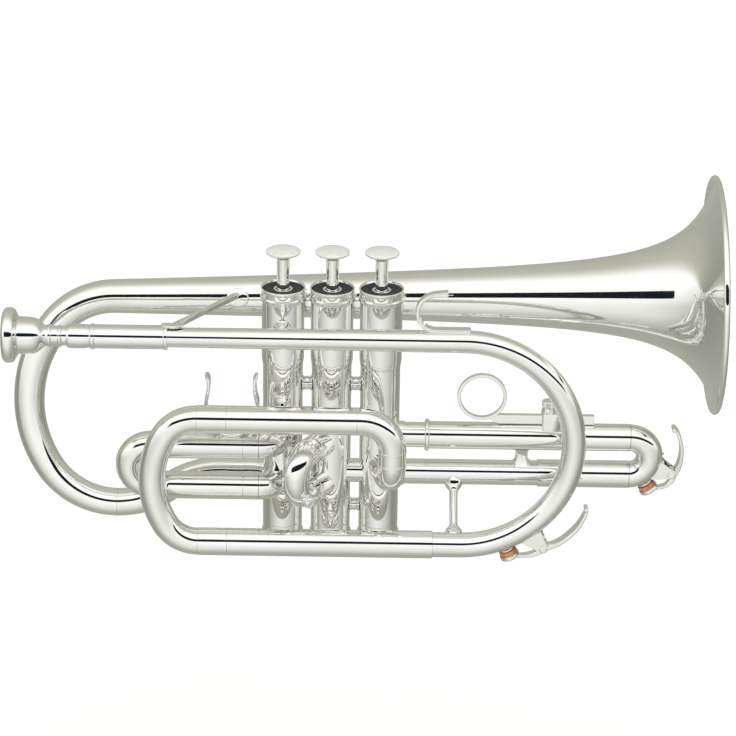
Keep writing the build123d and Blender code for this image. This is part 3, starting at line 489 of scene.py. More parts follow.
def strap(stations, widths, heights, corner):
    """A bar of rounded section along stations, its width along the side and its height square to it."""
    rings = []
    for index, (at, heading, side, _) in enumerate(stations):
        up = heading.cross(side)
        width, height = widths[index], heights[index]
        section = rounded_section(width, height, min(corner, 0.49 * height, 0.49 * width))
        rings.append([at + side * across + up * rise for across, rise in section])
    ends = []
    for ring, (at, heading, _, _), sign in ((rings[0], stations[0], -1), (rings[-1], stations[-1], 1)):
        grown = [at + (point - at) * 0.72 + heading * (sign * corner * 0.8) for point in ring]
        ends.append(grown)
    return skin([ends[0]] + rings + [ends[1]], closed=False)


def through(points, steps):
    """A smooth curve through points, evenly divided between them."""
    points = [Vector(point) for point in points]
    padded = [2 * points[0] - points[1]] + points + [2 * points[-1] - points[-2]]
    curve = []
    for index in range(1, len(padded) - 2):
        p0, p1, p2, p3 = padded[index - 1 : index + 3]
        for step in range(steps):
            t = step / steps
            square, cube = 2 * p0 - 5 * p1 + 4 * p2 - p3, 3 * p1 - p0 - 3 * p2 + p3
            curve.append((2 * p1 + (p2 - p0) * t + square * t * t + cube * t * t * t) / 2)
    curve.append(points[-1])
    return curve


def stations_along(curve, side):
    """Stations for a strap or a wire along a curve's points, with one fixed side."""
    stations = []
    gone = 0.0
    for index, point in enumerate(curve):
        before = curve[max(index - 1, 0)]
        after = curve[min(index + 1, len(curve) - 1)]
        heading = (after - before).normalized()
        across = (Vector(side) - heading * Vector(side).dot(heading)).normalized()
        if index:
            gone += (point - curve[index - 1]).length
        stations.append((point, heading, across, gone))
    return stations


def wire(curve, radius, side):
    """A round wire along a curve's points."""
    return skin([circle(station, radius, 16) for station in stations_along(curve, side)], closed=False)


def helix(at, axis, side, radius, turns, length):
    """Points of a coil about an axis."""
    up = axis.cross(side)
    points = []
    for step in range(int(turns * COIL_STEPS) + 1):
        angle = 2 * math.pi * step / COIL_STEPS
        rise = axis * (length * step / (turns * COIL_STEPS))
        points.append(Vector(at) + rise + (side * math.cos(angle) + up * math.sin(angle)) * radius)
    return points


def plate(outline, y, thickness, bevel=0.25):
    """A flat plate: an outline in X and Z, made thick along Y, with its edges broken."""
    shell = bmesh.new()
    corners = [shell.verts.new(Vector((x, y - thickness / 2, z)) * MM) for x, z in outline]
    face = shell.faces.new(corners)
    grown = bmesh.ops.extrude_face_region(shell, geom=[face])["geom"]
    for vertex in grown:
        if isinstance(vertex, bmesh.types.BMVert):
            vertex.co.y += thickness * MM
    bmesh.ops.recalc_face_normals(shell, faces=shell.faces)
    rim = [edge for edge in shell.edges if len(edge.link_faces) == 2 and edge.calc_face_angle(0) > 0.9]
    bmesh.ops.bevel(shell, geom=rim, offset=bevel * MM, segments=2, affect="EDGES", profile=0.5)
    return shell


def pad(bar, facing, centre, length, arc, thickness):
    """An oval soldered pad that wraps a round bar. facing points from the bar to the pad's middle."""
    place, direction, radius = bar
    facing = Vector(facing).normalized()
    across = direction.cross(facing)
    place = place + direction * (Vector(centre) - place).dot(direction)
    rings = []
    dome = ((0.02, 1.0), (0.6, 1.0), (0.85, 0.92), (0.96, 0.65), (1.0, 0.2), (1.0, -0.5), (0.02, -0.5))
    for share, rise in dome:
        ring = []
        for step in range(40):
            angle = 2 * math.pi * step / 40
            turn = math.radians(arc / 2) * share * math.cos(angle)
            out = facing * math.cos(turn) + across * math.sin(turn)
            slide = direction * (length / 2 * share * math.sin(angle))
            ring.append(place + slide + out * (radius + thickness * rise))
        rings.append(ring)
    return skin(rings)


def post(start_bar, end_bar, start, finish, shaft=2.0, foot=4.4):
    """A turned post between two round bars, with a flared foot fitted to each."""
    start, finish = Vector(start), Vector(finish)
    heading = (finish - start).normalized()
    side = heading.orthogonal().normalized()
    up = heading.cross(side)
    flare = ((-0.5, foot), (0.4, foot), (0.9, 0.97 * foot), (1.7, 0.9 * foot), (2.6, 0.77 * foot))
    flare += ((3.4, 0.62 * foot), (4.1, 1.12 * shaft), (5.2, shaft))
    rings = []
    for bar, sizes, leaving in ((start_bar, flare, True), (end_bar, flare[::-1], False)):
        for height, size in sizes:
            grown = (bar[0], bar[1], bar[2] + height)
            ring = [start + out * size for out in about(side, up, 48)]
            rings.append([onto(point, heading, grown, leaving) for point in ring])
    return skin(rings, closed=False)


def casing_bar(number, radius=9.5):
    """A valve casing as a round bar, for fitting ends to it."""
    return (Vector((VALVES[number], 0, 0)), Z, radius)


def lying_bar(y, z, radius):
    """A level tube as a round bar."""
    return (Vector((0, y, z)), X, radius)


# --- mouthpiece, receiver and mouthpipe ---

LIP_X = low("mouthpiece").x
SHANK_END = high("mouthpiece").x - LIP_X
mouthpiece_outline = [(1.3, 7.9), (0.0, 9.6), (0.0, 11.4), (0.9, 12.85), (2.0, 13.35), (4.3, 13.35)]
cup_body = ((7.2, 9.6), (8.6, 9.1), (14.0, 8.8), (17.0, 7.8), (19.4, 5.7), (20.6, 5.0))
mouthpiece_outline += [(5.7, 12.6), (6.6, 10.8)] + through(cup_body, 6)
mouthpiece_outline += [(22.0, 5.6), (22.9, 5.6), (23.3, 5.0), (26.6, 4.85), (27.0, 5.35), (28.0, 5.35)]
mouthpiece_outline += [(28.4, 4.75), (30.0, 4.72), (SHANK_END, 4.2), (SHANK_END, 3.6)]
mouthpiece_outline += [(22.0, 1.9), (15.5, 2.1)]
mouthpiece_outline += through(((14.2, 2.6), (11.0, 4.9), (6.4, 7.1), (2.8, 7.7)), 6)
mouthpiece = turned(mouthpiece_outline, (LIP_X, LEAD_Y, LEAD_Z), X, 0.5, FINE)
piece("silver_mouthpiece", [mouthpiece], "mouthpiece", "mouthpiece_body")

RECEIVER_X = low("receiver").x
RECEIVER_END = high("receiver").x - RECEIVER_X
receiver_outline = [(0.0, 4.85), (0.0, 5.3), (1.0, 5.75), (2.2, 5.95), (7.6, 5.95), (9.6, 5.7)]
receiver_outline += [(11.2, 5.55), (11.5, 6.2), (12.9, 6.25), (13.4, 5.85), (RECEIVER_END - 1.8, 5.85)]
receiver_outline += [(RECEIVER_END - 1.6, 6.15), (RECEIVER_END, 6.15), (RECEIVER_END, 4.95)]
receiver_outline += [(RECEIVER_END - 9.6, 4.95), (RECEIVER_END - 9.6, 4.4)]
piece("mouthpiece_receiver", [turned(receiver_outline, (RECEIVER_X, LEAD_Y, LEAD_Z), X)], "receiver")

BOW_X = 64.4
LEAD_RADII = (4.75, 5.65, 6.2)
LEAD_WALL = 0.55
bow_r = (LEAD_Z - MAIN_LOWER_Z) / 2
lead_start_x = low("leadpipe").x
lead_route = Route((lead_start_x, LEAD_Y, LEAD_Z), X, Y).run(BOW_X - lead_start_x, 24)
lead_route.bend(bow_r, 180, -Z).run(BOW_X - BOW_END_X)
piece("mouthpipe", [tube(lead_route, graded(LEAD_RADII), LEAD_WALL)], "leadpipe")

# --- main slide ---

CROOK_SIZE = (CROOK_R + 0.1, 0.75)
main_spans = ((MAIN_UPPER_Z, INLET_START_X), (MAIN_LOWER_Z, BOW_END_X))
main_shells = [level_tube(MAIN_LEFT_X, end_x, LEAD_Y, z, TUBE_R, SLEEVE_BORE_R) for z, end_x in main_spans]
piece("main_slide_tubes", main_shells, "main_tubes")
leg_shells = []
for z, _ in main_spans:
    leg_shells.append(level_tube(MAIN_SLEEVE_X + 0.4, MAIN_LEG_END_X, LEAD_Y, z, INNER_R, BORE_R))
    leg_shells.append(level_tube(MAIN_SLEEVE_X, MAIN_LEFT_X - 0.12, LEAD_Y, z, TUBE_R, INNER_R))
piece("main_slide_ferrules_and_legs", leg_shells, "main_slide_legs", "main_slide")

MAIN_CORNER_R = 18.5
MAIN_CORNER_ARC = 60.0
corner_cos = cosine(MAIN_CORNER_ARC)
main_side_r = ((MAIN_UPPER_Z - MAIN_LOWER_Z) / 2 - MAIN_CORNER_R * (1 - corner_cos)) / corner_cos
main_route = Route((MAIN_SLEEVE_X, LEAD_Y, MAIN_LOWER_Z), -X, Y)
main_route.bend(MAIN_CORNER_R, MAIN_CORNER_ARC, Z)
main_route.bend(main_side_r, 180 - 2 * MAIN_CORNER_ARC, main_route.inwards(X))
main_route.bend(MAIN_CORNER_R, MAIN_CORNER_ARC, main_route.inwards(X))
piece("main_slide_bow", [tube(main_route, CROOK_SIZE[0], CROOK_R - BORE_R)], "main_crook", "main_slide")

# --- inlet elbow ---

INLET_BEND_R = 15.5
INLET_X = 30.3
INLET_RINGS_Z = (-3.8, -11.0)
INLET_END_Z = -21.7
inlet_route = Route((INLET_START_X, LEAD_Y, MAIN_UPPER_Z), X, Y)
inlet_route.run(INLET_X - INLET_BEND_R - INLET_START_X).bend(INLET_BEND_R, 90, -Z)
inlet_route.run(MAIN_UPPER_Z - INLET_BEND_R - INLET_RINGS_Z[1])
to_casing = Vector((VALVES["3"] - INLET_X, -LEAD_Y, 0))
inlet_route.bend(INLET_RINGS_Z[1] - INLET_END_Z, 90, to_casing.normalized()).run(9.0)
inlet_shells = [tube(inlet_route, TUBE_R, end=casing_bar("3"), lips=(LIP, 0))]
inlet_band = [(-0.5, TUBE_R - 0.1), (-0.5, TUBE_R + 0.2), (0.5, TUBE_R + 0.2), (0.5, TUBE_R - 0.1)]
for z in INLET_RINGS_Z:
    inlet_shells.append(turned(inlet_band, (INLET_X, LEAD_Y, z), Z, 0.15))
piece("third_valve_inlet", inlet_shells, "inlet_elbow")

# --- valve casings and caps ---

CASING_R = 9.8
CASING_TOP_R = 10.4
CASING_BOTTOM_Z = low("casing_2").z
CASING_STEP_Z = 31.0
CAP_Z = low("top_caps").z
NECK_TOP_Z = high("casing_2").z
CAP_TOP_Z = high("top_caps").z
CAP_FLOOR_Z = 67.2
CAP_COLLAR_Z = 68.7
FOOT_Z = low("bottom_caps").z
casing_outline = [(CASING_BOTTOM_Z, 8.5), (CASING_BOTTOM_Z, 9.45), (CASING_BOTTOM_Z + 4.0, 9.45)]
casing_outline += [(CASING_BOTTOM_Z + 4.0, CASING_R), (CASING_STEP_Z - 2.0, CASING_R)]
casing_outline += [(CASING_STEP_Z - 1.9, 9.95), (CASING_STEP_Z + 1.4, CASING_TOP_R)]
casing_outline += [(CAP_Z, CASING_TOP_R), (CAP_Z, 9.85), (NECK_TOP_Z, 9.85), (NECK_TOP_Z, 9.15)]
casing_outline += [(CASING_STEP_Z, 9.15), (CASING_STEP_Z, 8.5)]
cap_outline = [(CAP_Z, 9.9), (CAP_Z, 10.75), (CAP_Z + 0.6, 11.15), (CAP_Z + 1.9, 11.15)]
cap_outline += [(CAP_Z + 2.6, 10.75), (CAP_TOP_Z - 1.7, 10.7), (CAP_TOP_Z - 0.9, 11.0), (CAP_TOP_Z, 10.9)]
cap_outline += [(CAP_TOP_Z, 10.3), (CAP_TOP_Z - 0.9, 9.75), (CAP_FLOOR_Z, 9.6), (CAP_FLOOR_Z, 4.85)]
cap_outline += [(CAP_COLLAR_Z, 4.75), (CAP_COLLAR_Z, 3.45)]
cap_outline += [(NECK_TOP_Z + 0.02, 3.45), (NECK_TOP_Z + 0.02, 9.9)]
foot_outline = [(11.95, 9.5), (11.95, CASING_R), (7.7, CASING_R), (7.1, 10.4), (3.6, 10.4)]
foot_outline += [(2.6, 10.1), (1.5, 8.6), (1.2, 5.0), (0.0, 3.6), (0.0, 1.2), (2.6, 1.2)]
foot_outline += [(2.6, 8.55), (7.95, 8.55), (7.95, 9.5)]
FOOT_KNURL = (3.0, 7.0, 48, 0.18)
felt_outline = [(CAP_FLOOR_Z + 0.05, 4.95), (CAP_FLOOR_Z + 0.05, 9.5), (68.8, 9.5), (68.8, 4.95)]
under_felt_outline = [(63.5, 3.5), (63.5, 8.0), (66.35, 8.0), (66.35, 3.5)]
caps, feet, felts = [], [], []
for number, valve_x in VALVES.items():
    at = Vector((valve_x, 0, 0))
    piece(f"valve_casing_{number}", [turned(casing_outline, at, Z, around=FINE)], f"casing_{number}")
    caps.append(turned(cap_outline, at, Z, around=FINE))
    feet.append(turned(foot_outline, at + Z * FOOT_Z, Z, around=FINE, knurl=FOOT_KNURL))
    felts.append(turned(felt_outline, at, Z, 0.45))
    felts.append(turned(under_felt_outline, at, Z, 0.45))
piece("silver_top_caps", caps, "top_caps")
piece("silver_bottom_caps", feet, "bottom_caps")
piece("black_felts", felts, "cap_felts", slot="felt")

# --- stems, buttons and springs ---

BUTTON_Z = high("stem_2").z - 3.4
SPRING_BOTTOM_Z = low("valve_spring_2").z
SPRING_TOP_Z = high("valve_spring_2").z
SPRING_LENGTH = SPRING_TOP_Z - SPRING_BOTTOM_Z
barrel = low("stem_2").z - BUTTON_Z
stem_outline = [(barrel, 0), (barrel, 6.0), (barrel + 1.2, 6.0), (barrel + 1.5, 3.1), (-1.2, 3.1)]
stem_outline += [(-0.2, 3.7), (0.5, 6.2), (1.3, 7.9), (1.7, 8.35), (2.1, 8.35), (2.1, 8.0)]
stem_outline += [(1.5, 7.6), (1.5, 0)]
pearl_outline = [(1.55, 0), (1.55, 7.6), (2.1, 8.1), (2.15, 8.4), (2.5, 8.45), (2.95, 7.9), (3.35, 6.8)]
pearl_outline += [(3.65, 5.2), (3.82, 3.2), (3.89, 1.4), (3.9, 0)]
for number, valve_x in VALVES.items():
    at = Vector((valve_x, 0, BUTTON_Z))
    body = f"valve_{number}"
    piece(f"button_stem_{number}", [turned(stem_outline, at, Z, 0.5)], f"stem_{number}", body)
    piece(f"button_inlay_{number}", [turned(pearl_outline, at, Z, 0.4)], f"pearl_{number}", body, "pearl")
    coil = helix(Vector((valve_x, 0, SPRING_BOTTOM_Z + 0.5)), Z, X, 5.6, 8, SPRING_LENGTH - 1.0)
    spring_node = f"valve_spring_{number}"
    spring = piece(f"coil_spring_{number}", [wire(coil, 0.5, Z)], spring_node, body, "spring_steel")
    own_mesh(spring)

# --- knuckles and ties ---

# How far out from a valve's axis the tubes and rods begin that are cut to its casing
CUT_FROM = 6.0


def between_casings(one, other, z, radius, wall=None):
    """A level tube or rod from one casing to the next, fitted to both."""
    route = level_route(VALVES[one] + CUT_FROM, VALVES[other] - CUT_FROM, 0, z)
    return tube(route, radius, wall, start=casing_bar(one), end=casing_bar(other))


knuckle_shells = []
for one, other, z in (("1", "2", -0.5), ("2", "3", -28.4)):
    knuckle_shells.append(between_casings(one, other, z, 6.05, TUBE_WALL))
piece("valve_knuckles", knuckle_shells, "knuckles")
tie_shells = []
for one, other, z, radius in (("1", "2", 18.7, 2.5), ("2", "3", 18.7, 2.5), ("2", "3", -47.0, 2.2)):
    tie_shells.append(between_casings(one, other, z, radius))
    ball = [(-1.5, radius - 0.2), (-1.2, radius + 0.7), (0.0, radius + 1.0)]
    ball += [(1.2, radius + 0.7), (1.5, radius - 0.2)]
    tie_shells.append(turned(ball, ((VALVES[one] + VALVES[other]) / 2, 0, z), X, 0.3))
    flange = [(0, 0.5), (0, radius + 1.4), (0.7, radius + 1.2), (1.4, radius + 0.2), (1.4, 0.5)]
    for number, facing in ((one, X), (other, -X)):
        tie_shells.append(turned(flange, Vector((VALVES[number], 0, z)) + facing * 9.6, facing, 0.3))
piece("casing_tie_rods", tie_shells, "casing_ties")

# --- bell ---

BELL_Y = 27.0
BELL_Z = 54.3
BELL_PITCH = 1.0
BELL_START_X = -108.5
BELL_RIM_X = 190.0
BELL_WALL = 0.6
RIM_R = 59.48
BEAD_R = 1.6
bell_at = Vector((0, BELL_Y, BELL_Z))
bell_dir = Vector((cosine(BELL_PITCH), 0, sine(BELL_PITCH)))


def bell_radius(x):
    """The bell's outside radius at a distance along its axis."""
    return 9.25 + 0.01757 * x + 2509.0 / (210.0 - x) ** 1.342


def bell_side(depth, last_x):
    """The bell's outline moved inwards by a depth, closer spaced where it flares."""
    points = []
    steps = 120
    for step in range(steps + 1):
        x = BELL_START_X + (last_x - BELL_START_X) * (1 - (1 - step / steps) ** 2.2)
        slope = (bell_radius(x + 0.01) - bell_radius(x - 0.01)) / 0.02
        size = math.hypot(1, slope)
        points.append((x + depth * slope / size, bell_radius(x) - depth / size))
    return points


bead = []
for step in range(25):
    angle = 258 - 316 * step / 24
    bead.append((BELL_RIM_X - 0.7 + BEAD_R * cosine(angle), RIM_R - BEAD_R + BEAD_R * sine(angle)))
bell_outline = bell_side(0.0, BELL_RIM_X - 0.6) + bead + bell_side(BELL_WALL, BELL_RIM_X - 1.1)[::-1]
piece("flared_bell", [turned(bell_outline, bell_at, bell_dir, 0.0, 2 * FINE)], "bell")

TAIL_Y = 5.0
CROOK_BOTTOM_Z = -50.4
CROOK_TOP = (38.5, 51.0)
CROOK_LOW = (41.0, 59.0)
crook_start = bell_at + bell_dir * BELL_START_X
crook_fall = Vector((0, TAIL_Y - BELL_Y, CROOK_BOTTOM_Z - crook_start.z))
top_cos = cosine(CROOK_TOP[1])
low_cos = cosine(CROOK_LOW[1])
crook_side_r = crook_fall.length - CROOK_TOP[0] * (1 - top_cos) - CROOK_LOW[0] * (1 - low_cos)
crook_side_r /= top_cos + low_cos
crook_route = Route(crook_start, -bell_dir, (-bell_dir).cross(crook_fall))
crook_route.bend(*CROOK_TOP, crook_route.inwards(crook_fall))
crook_route.bend(crook_side_r, 180 - CROOK_TOP[1] - CROOK_LOW[1], crook_route.inwards(X))
crook_route.bend(CROOK_LOW[0], CROOK_LOW[1] - BELL_PITCH, crook_route.inwards(X))
crook_radius = graded((bell_radius(BELL_START_X) - 0.01, 8.04, 7.58, 7.28, 6.98))
piece("shepherds_crook", [tube(crook_route, crook_radius, BELL_WALL, lips=(0.02, 0.05))], "bell_bow")

TAIL_R = 6.98
TAIL_RUN = 53.0
TAIL_Z = -32.2
TAIL_TURN = 25.0
TAIL_SWING_R = 20.0
TAIL_FERRULE_X = (-52.0, -42.9)
tail_start = crook_route.at
tail_rise = TAIL_Z - tail_start.z
tail_bend_r = (TAIL_RUN**2 + tail_rise**2) / (4 * tail_rise)
tail_arc = math.degrees(2 * math.atan(tail_rise / TAIL_RUN))
tail_route = Route(tail_start + X * 0.06, X, Y)
tail_route.bend(tail_bend_r, tail_arc, Z)
tail_route.bend(tail_bend_r, tail_arc, tail_route.inwards(-Z))
swing_reach = TAIL_SWING_R * math.tan(math.radians(TAIL_TURN / 2))
tail_end_x = VALVES["1"] - TAIL_Y / math.tan(math.radians(TAIL_TURN)) - swing_reach
tail_route.run(tail_end_x - tail_route.at.x)
tail_route.bend(TAIL_SWING_R, TAIL_TURN, -Y).run(3.0)
ferrule_length = TAIL_FERRULE_X[1] - TAIL_FERRULE_X[0]
ferrule = [(0, 6.9), (0, 7.2), (ferrule_length, 7.2), (ferrule_length, 6.9)]
tail_shells = [tube(tail_route, TAIL_R, end=casing_bar("1"), lips=(0.05, 0))]
tail_shells.append(turned(ferrule, (TAIL_FERRULE_X[0], TAIL_Y, TAIL_Z), X, 0.2))
piece("bell_tail_pipe", tail_shells, "bell_tail")

# --- first slide ---

FIRST_ANGLE = 70.0
FIRST_JOINT_X = -35.2
FIRST_END_X = -42.9
knee_cos = cosine(FIRST_ANGLE)
knee_sin = sine(FIRST_ANGLE)
knee_run = VALVES["1"] - FIRST_JOINT_X
knee_r = (-FIRST_Y * knee_cos - knee_run * knee_sin) / (knee_cos * (1 - knee_cos) - knee_sin**2)
knee_stub = (knee_run - knee_r * knee_sin) / knee_cos
knee_out = Vector((-knee_cos, -knee_sin, 0))
first_shells, first_sleeves = [], []
for z in FIRST_LEVELS:
    knee = Route(Vector((VALVES["1"], 0, z)) + knee_out * CUT_FROM, knee_out, Z)
    knee.run(knee_stub - CUT_FROM).bend(knee_r, FIRST_ANGLE, knee.inwards(-X))
    first_shells.append(tube(knee, TUBE_R, start=casing_bar("1"), lips=(0, LIP)))
    first_shells.append(level_tube(FIRST_END_X, FIRST_JOINT_X - 0.1, FIRST_Y, z, TUBE_R, BORE_R))
    first_shells.append(level_tube(FIRST_CROOK_X + 3.4, FIRST_END_X + 0.5, FIRST_Y, z, INNER_R, BORE_R))
    first_sleeves.append(level_tube(FIRST_CROOK_X, FIRST_SLEEVE_X, FIRST_Y, z, TUBE_R, SLEEVE_BORE_R))
piece("first_slide_knees", first_shells, "first_slide_tubes")
piece("first_slide_outer_tubes", first_sleeves, "first_slide_sleeves", "first_slide")
first_route = Route((FIRST_CROOK_X, FIRST_Y, FIRST_LEVELS[1]), -X, Y)
first_route.bend((FIRST_LEVELS[0] - FIRST_LEVELS[1]) / 2, 180, Z)
piece("first_slide_bow", [tube(first_route, CROOK_R + 0.09, 0.75)], "first_slide_crook", "first_slide")

SADDLE_X = middle("thumb_saddle").x
SADDLE_HALF = 12.5
SADDLE_FLOOR_Z = -1.5
saddle_half = [(SADDLE_HALF - 0.3, 28.4), (SADDLE_HALF - 1.3, 26.0), (SADDLE_HALF - 1.0, 20.0)]
saddle_half += [(SADDLE_HALF + 0.2, 13.0), (SADDLE_HALF - 1.2, 6.0), (SADDLE_HALF - 6.0, 0.4)]
saddle_half += [(0.0, SADDLE_FLOOR_Z)]
saddle_points = [(SADDLE_X - x, FIRST_Y, z) for x, z in saddle_half]
saddle_points += [(SADDLE_X + x, FIRST_Y, z) for x, z in saddle_half[-2::-1]]
saddle_stations = stations_along(through(saddle_points, 10), Y)
count = len(saddle_stations)
saddle_widths = [9.8 - 2.2 * abs(2 * index / (count - 1) - 1) ** 3 for index in range(count)]
saddle_shells = [strap(saddle_stations, saddle_widths, [1.6] * count, 0.7)]
first_bar = lying_bar(FIRST_Y, FIRST_LEVELS[0], TUBE_R)
saddle_shells.append(pad(first_bar, Z, (SADDLE_X, 0, 0), 12.0, 80.0, 0.9))
piece("thumb_saddle_strap", saddle_shells, "thumb_saddle", "first_slide")

# --- second slide ---

SECOND_TURN = 238.0
SECOND_SLEEVE_END = 17.0
SECOND_REACH = 32.0
second_out = Vector((cosine(SECOND_TURN), sine(SECOND_TURN), 0))
second_side = Z.cross(second_out)
second_crook_r = (SECOND_LEVELS[0] - SECOND_LEVELS[1]) / 2
second_bend = SECOND_REACH - second_crook_r
sleeve_shells, loop_shells = [], []
for z in SECOND_LEVELS:
    sleeve_route = Route(second_out * CUT_FROM + Z * z, second_out, Z).run(SECOND_SLEEVE_END - CUT_FROM)
    sleeve_shells.append(tube(sleeve_route, TUBE_R, start=casing_bar("2"), lips=(0, LIP)))
    leg_route = Route(second_out * 10.4 + Z * z, second_out, Z).run(second_bend - 10.3)
    loop_shells.append(tube(leg_route, INNER_R, 0.45))
second_route = Route(second_out * second_bend + Z * SECOND_LEVELS[1], second_out, second_side)
second_route.bend(second_crook_r, 180, Z)
loop_shells.append(tube(second_route, *CROOK_SIZE))
piece("second_slide_outer_tubes", sleeve_shells, "second_slide_sleeves")
piece("second_slide_bow", loop_shells, "second_slide_crook", "second_slide")

KNOB_TURN = 45
knob_at = second_out * (second_bend + second_crook_r * cosine(KNOB_TURN))
knob_at += Z * (sum(SECOND_LEVELS) / 2 - second_crook_r * sine(KNOB_TURN))
knob_dir = (second_side * 0.9 + second_out * 0.3 - Z * 0.25).normalized()
knob_at += knob_dir * CROOK_R
knob_outline = [(-0.5, 0), (-0.5, 2.9), (0.4, 2.5), (0.9, 1.8), (1.3, 1.8), (1.6, 2.7), (2.3, 3.2)]
knob_outline += [(3.2, 3.3), (4.1, 2.8), (4.6, 1.6), (4.75, 0)]
knob = turned(knob_outline, knob_at, knob_dir, 0.6, 48)
piece("second_slide_pull_knob", [knob], "second_slide_knob", "second_slide")

# --- third slide ---

THIRD_LOWER_X = 103.1
FERRULE_LENGTH = 6.6
third_start_x = VALVES["3"] + CUT_FROM
third_shells = []
for z in THIRD_LEVELS:
    fixed = level_route(third_start_x, THIRD_INNER_END_X, 0, z)
    third_shells.append(tube(fixed, INNER_R, 0.47, start=casing_bar("3"), lips=(0, LIP)))
    ferrule = level_route(third_start_x, third_start_x + FERRULE_LENGTH, 0, z)
    third_shells.append(tube(ferrule, TUBE_R, 0.5, start=casing_bar("3"), lips=(0, 0.3)))
piece("third_slide_inner_tubes", third_shells, "third_slide_tubes")

collar = [(0, SLEEVE_BORE_R), (0, 7.4), (0.5, 8.0), (1.8, 8.0), (2.3, 7.4), (2.3, SLEEVE_BORE_R)]
outer_shells = []
for z, start_x in zip(THIRD_LEVELS, (THIRD_UPPER_X + 0.2, THIRD_LOWER_X)):
    outer_shells.append(level_tube(start_x, THIRD_CROOK_X - 0.1, 0, z, TUBE_R, SLEEVE_BORE_R))
outer_shells.append(turned(collar, (THIRD_UPPER_X, 0, THIRD_LEVELS[0]), X, 0.3))
piece("third_slide_outer_tubes", outer_shells, "third_slide_sleeves", "third_slide")
third_mid_z = sum(THIRD_LEVELS) / 2
third_crook_r = (THIRD_LEVELS[0] - THIRD_LEVELS[1]) / 2
third_route = Route((THIRD_CROOK_X, 0, THIRD_LEVELS[1]), X, Y).bend(third_crook_r, 180, Z)
piece("third_slide_bow", [tube(third_route, *CROOK_SIZE)], "third_slide_crook", "third_slide")

GUIDE_X = middle("third_slide_guide").x
guide_low, guide_high = low("third_slide_guide").z, high("third_slide_guide").z
guide_rings = []
for share in (0.0, 0.06, 0.2, 0.35, 0.5, 0.65, 0.8, 0.94, 1.0):
    waist = 2.9 + (0.4 if share > 0.5 else 1.7) * abs(2 * share - 1) ** 2
    depth = 3.3 + 0.8 * abs(2 * share - 1) ** 2
    z = guide_low + (guide_high - guide_low) * share
    section = rounded_section(2 * waist, 2 * depth, 1.2)
    ring = [Vector((GUIDE_X + across, out, z)) for across, out in section]
    if share < 0.1:
        foot_bar = lying_bar(0, THIRD_LEVELS[1], INNER_R - 0.05 + 6 * share)
        ring = [onto(place, Z, foot_bar, True) for place in ring]
    elif share > 0.9:
        head_bar = lying_bar(0, THIRD_LEVELS[0], TUBE_R + 0.3 + 6 * (1 - share))
        ring = [onto(place, Z, head_bar) for place in ring]
    guide_rings.append(ring)
piece("third_slide_guide_block", [skin(guide_rings, closed=False)], "third_slide_guide")

RING_AT = Vector((74.5, 0, 12.6))
RING_OUT = 12.2
RING_IN = 10.6
ROD_LOW_Z, ROD_HIGH_Z = -1.3, 3.4
rod_end_x = high("finger_ring").x
ring_band = [(-1.5, RING_IN), (-1.5, RING_OUT), (1.5, RING_OUT), (1.5, RING_IN)]
rod_outline = [(RING_AT.x + 5.6, ROD_LOW_Z + 0.9), (RING_AT.x + 8.4, ROD_LOW_Z + 0.1)]
rod_outline += [(RING_AT.x + 10.5, ROD_LOW_Z), (rod_end_x, ROD_LOW_Z), (rod_end_x, ROD_HIGH_Z)]
rod_outline.append((RING_AT.x + 8.6, ROD_HIGH_Z))
for degrees in (-54, -60, -66, -72):
    rod_outline.append((RING_AT.x + 11.5 * cosine(degrees), RING_AT.z + 11.5 * sine(degrees)))
ring_shells = [turned(ring_band, RING_AT, Y, 0.5, 128), plate(rod_outline, 0, 2.9, 0.35)]
piece("finger_ring_and_rod", ring_shells, "finger_ring", "ring_rod")

CLAMP_TOP_Z = 5.5
SCREW_X = middle("thumb_screw").x
clamp_x = middle("ring_clamp").x
clamp_length = high("ring_clamp").x - low("ring_clamp").x
clamp_levels = [(CLAMP_TOP_Z, 0.8), (CLAMP_TOP_Z - 0.35, 0.2), (CLAMP_TOP_Z - 1.2, 0.0)]
clamp_rings = []
for z, ease in clamp_levels + [(ROD_LOW_Z - 1.0, 0.0)]:
    section = rounded_section(clamp_length - 2 * ease, 10.0 - 2 * ease, 1.4)
    clamp_rings.append([Vector((clamp_x + across, out, z)) for across, out in section])
third_upper_bar = lying_bar(0, THIRD_LEVELS[0], TUBE_R - 0.05)
clamp_rings.append([onto(point, -Z, third_upper_bar) for point in clamp_rings[-1]])
boss = turned([(0, 0.5), (0, 3.1), (1.6, 2.8), (2.2, 2.6), (2.2, 0.5)], (SCREW_X, 0, CLAMP_TOP_Z - 0.1), Z)
piece("ring_rod_clamp", [skin(clamp_rings, closed=False), boss], "ring_clamp", "third_slide")
screw_top = high("thumb_screw").z
screw_outline = [(3.5, 0), (3.5, 1.15), (7.7, 1.15), (7.8, 2.9), (8.1, 3.4), (screw_top - 0.5, 3.4)]
screw_outline += [(screw_top - 0.1, 2.8), (screw_top, 0)]
screw = turned(screw_outline, (SCREW_X, 0, 0), Z, 0.25, 144, (8.0, screw_top - 0.45, 24, 0.28))
piece("knurled_thumb_screw", [screw], "thumb_screw", "clamp_screw")

# --- posts, braces and hook ---

BRACE_X = 61.35
lower_lead_bar = lying_bar(LEAD_Y, MAIN_LOWER_Z, LEAD_RADII[-1])
third_lower_bar = lying_bar(0, THIRD_LEVELS[1], INNER_R)
brace_ends = ((BRACE_X, 0, THIRD_LEVELS[1]), (BRACE_X, LEAD_Y, MAIN_LOWER_Z))
piece("third_slide_post", [post(third_lower_bar, lower_lead_bar, *brace_ends)], "third_slide_brace")


def bell_bar(x):
    """The bell's stem as a round bar near a place along it."""
    return (bell_at, bell_dir, bell_radius(x))


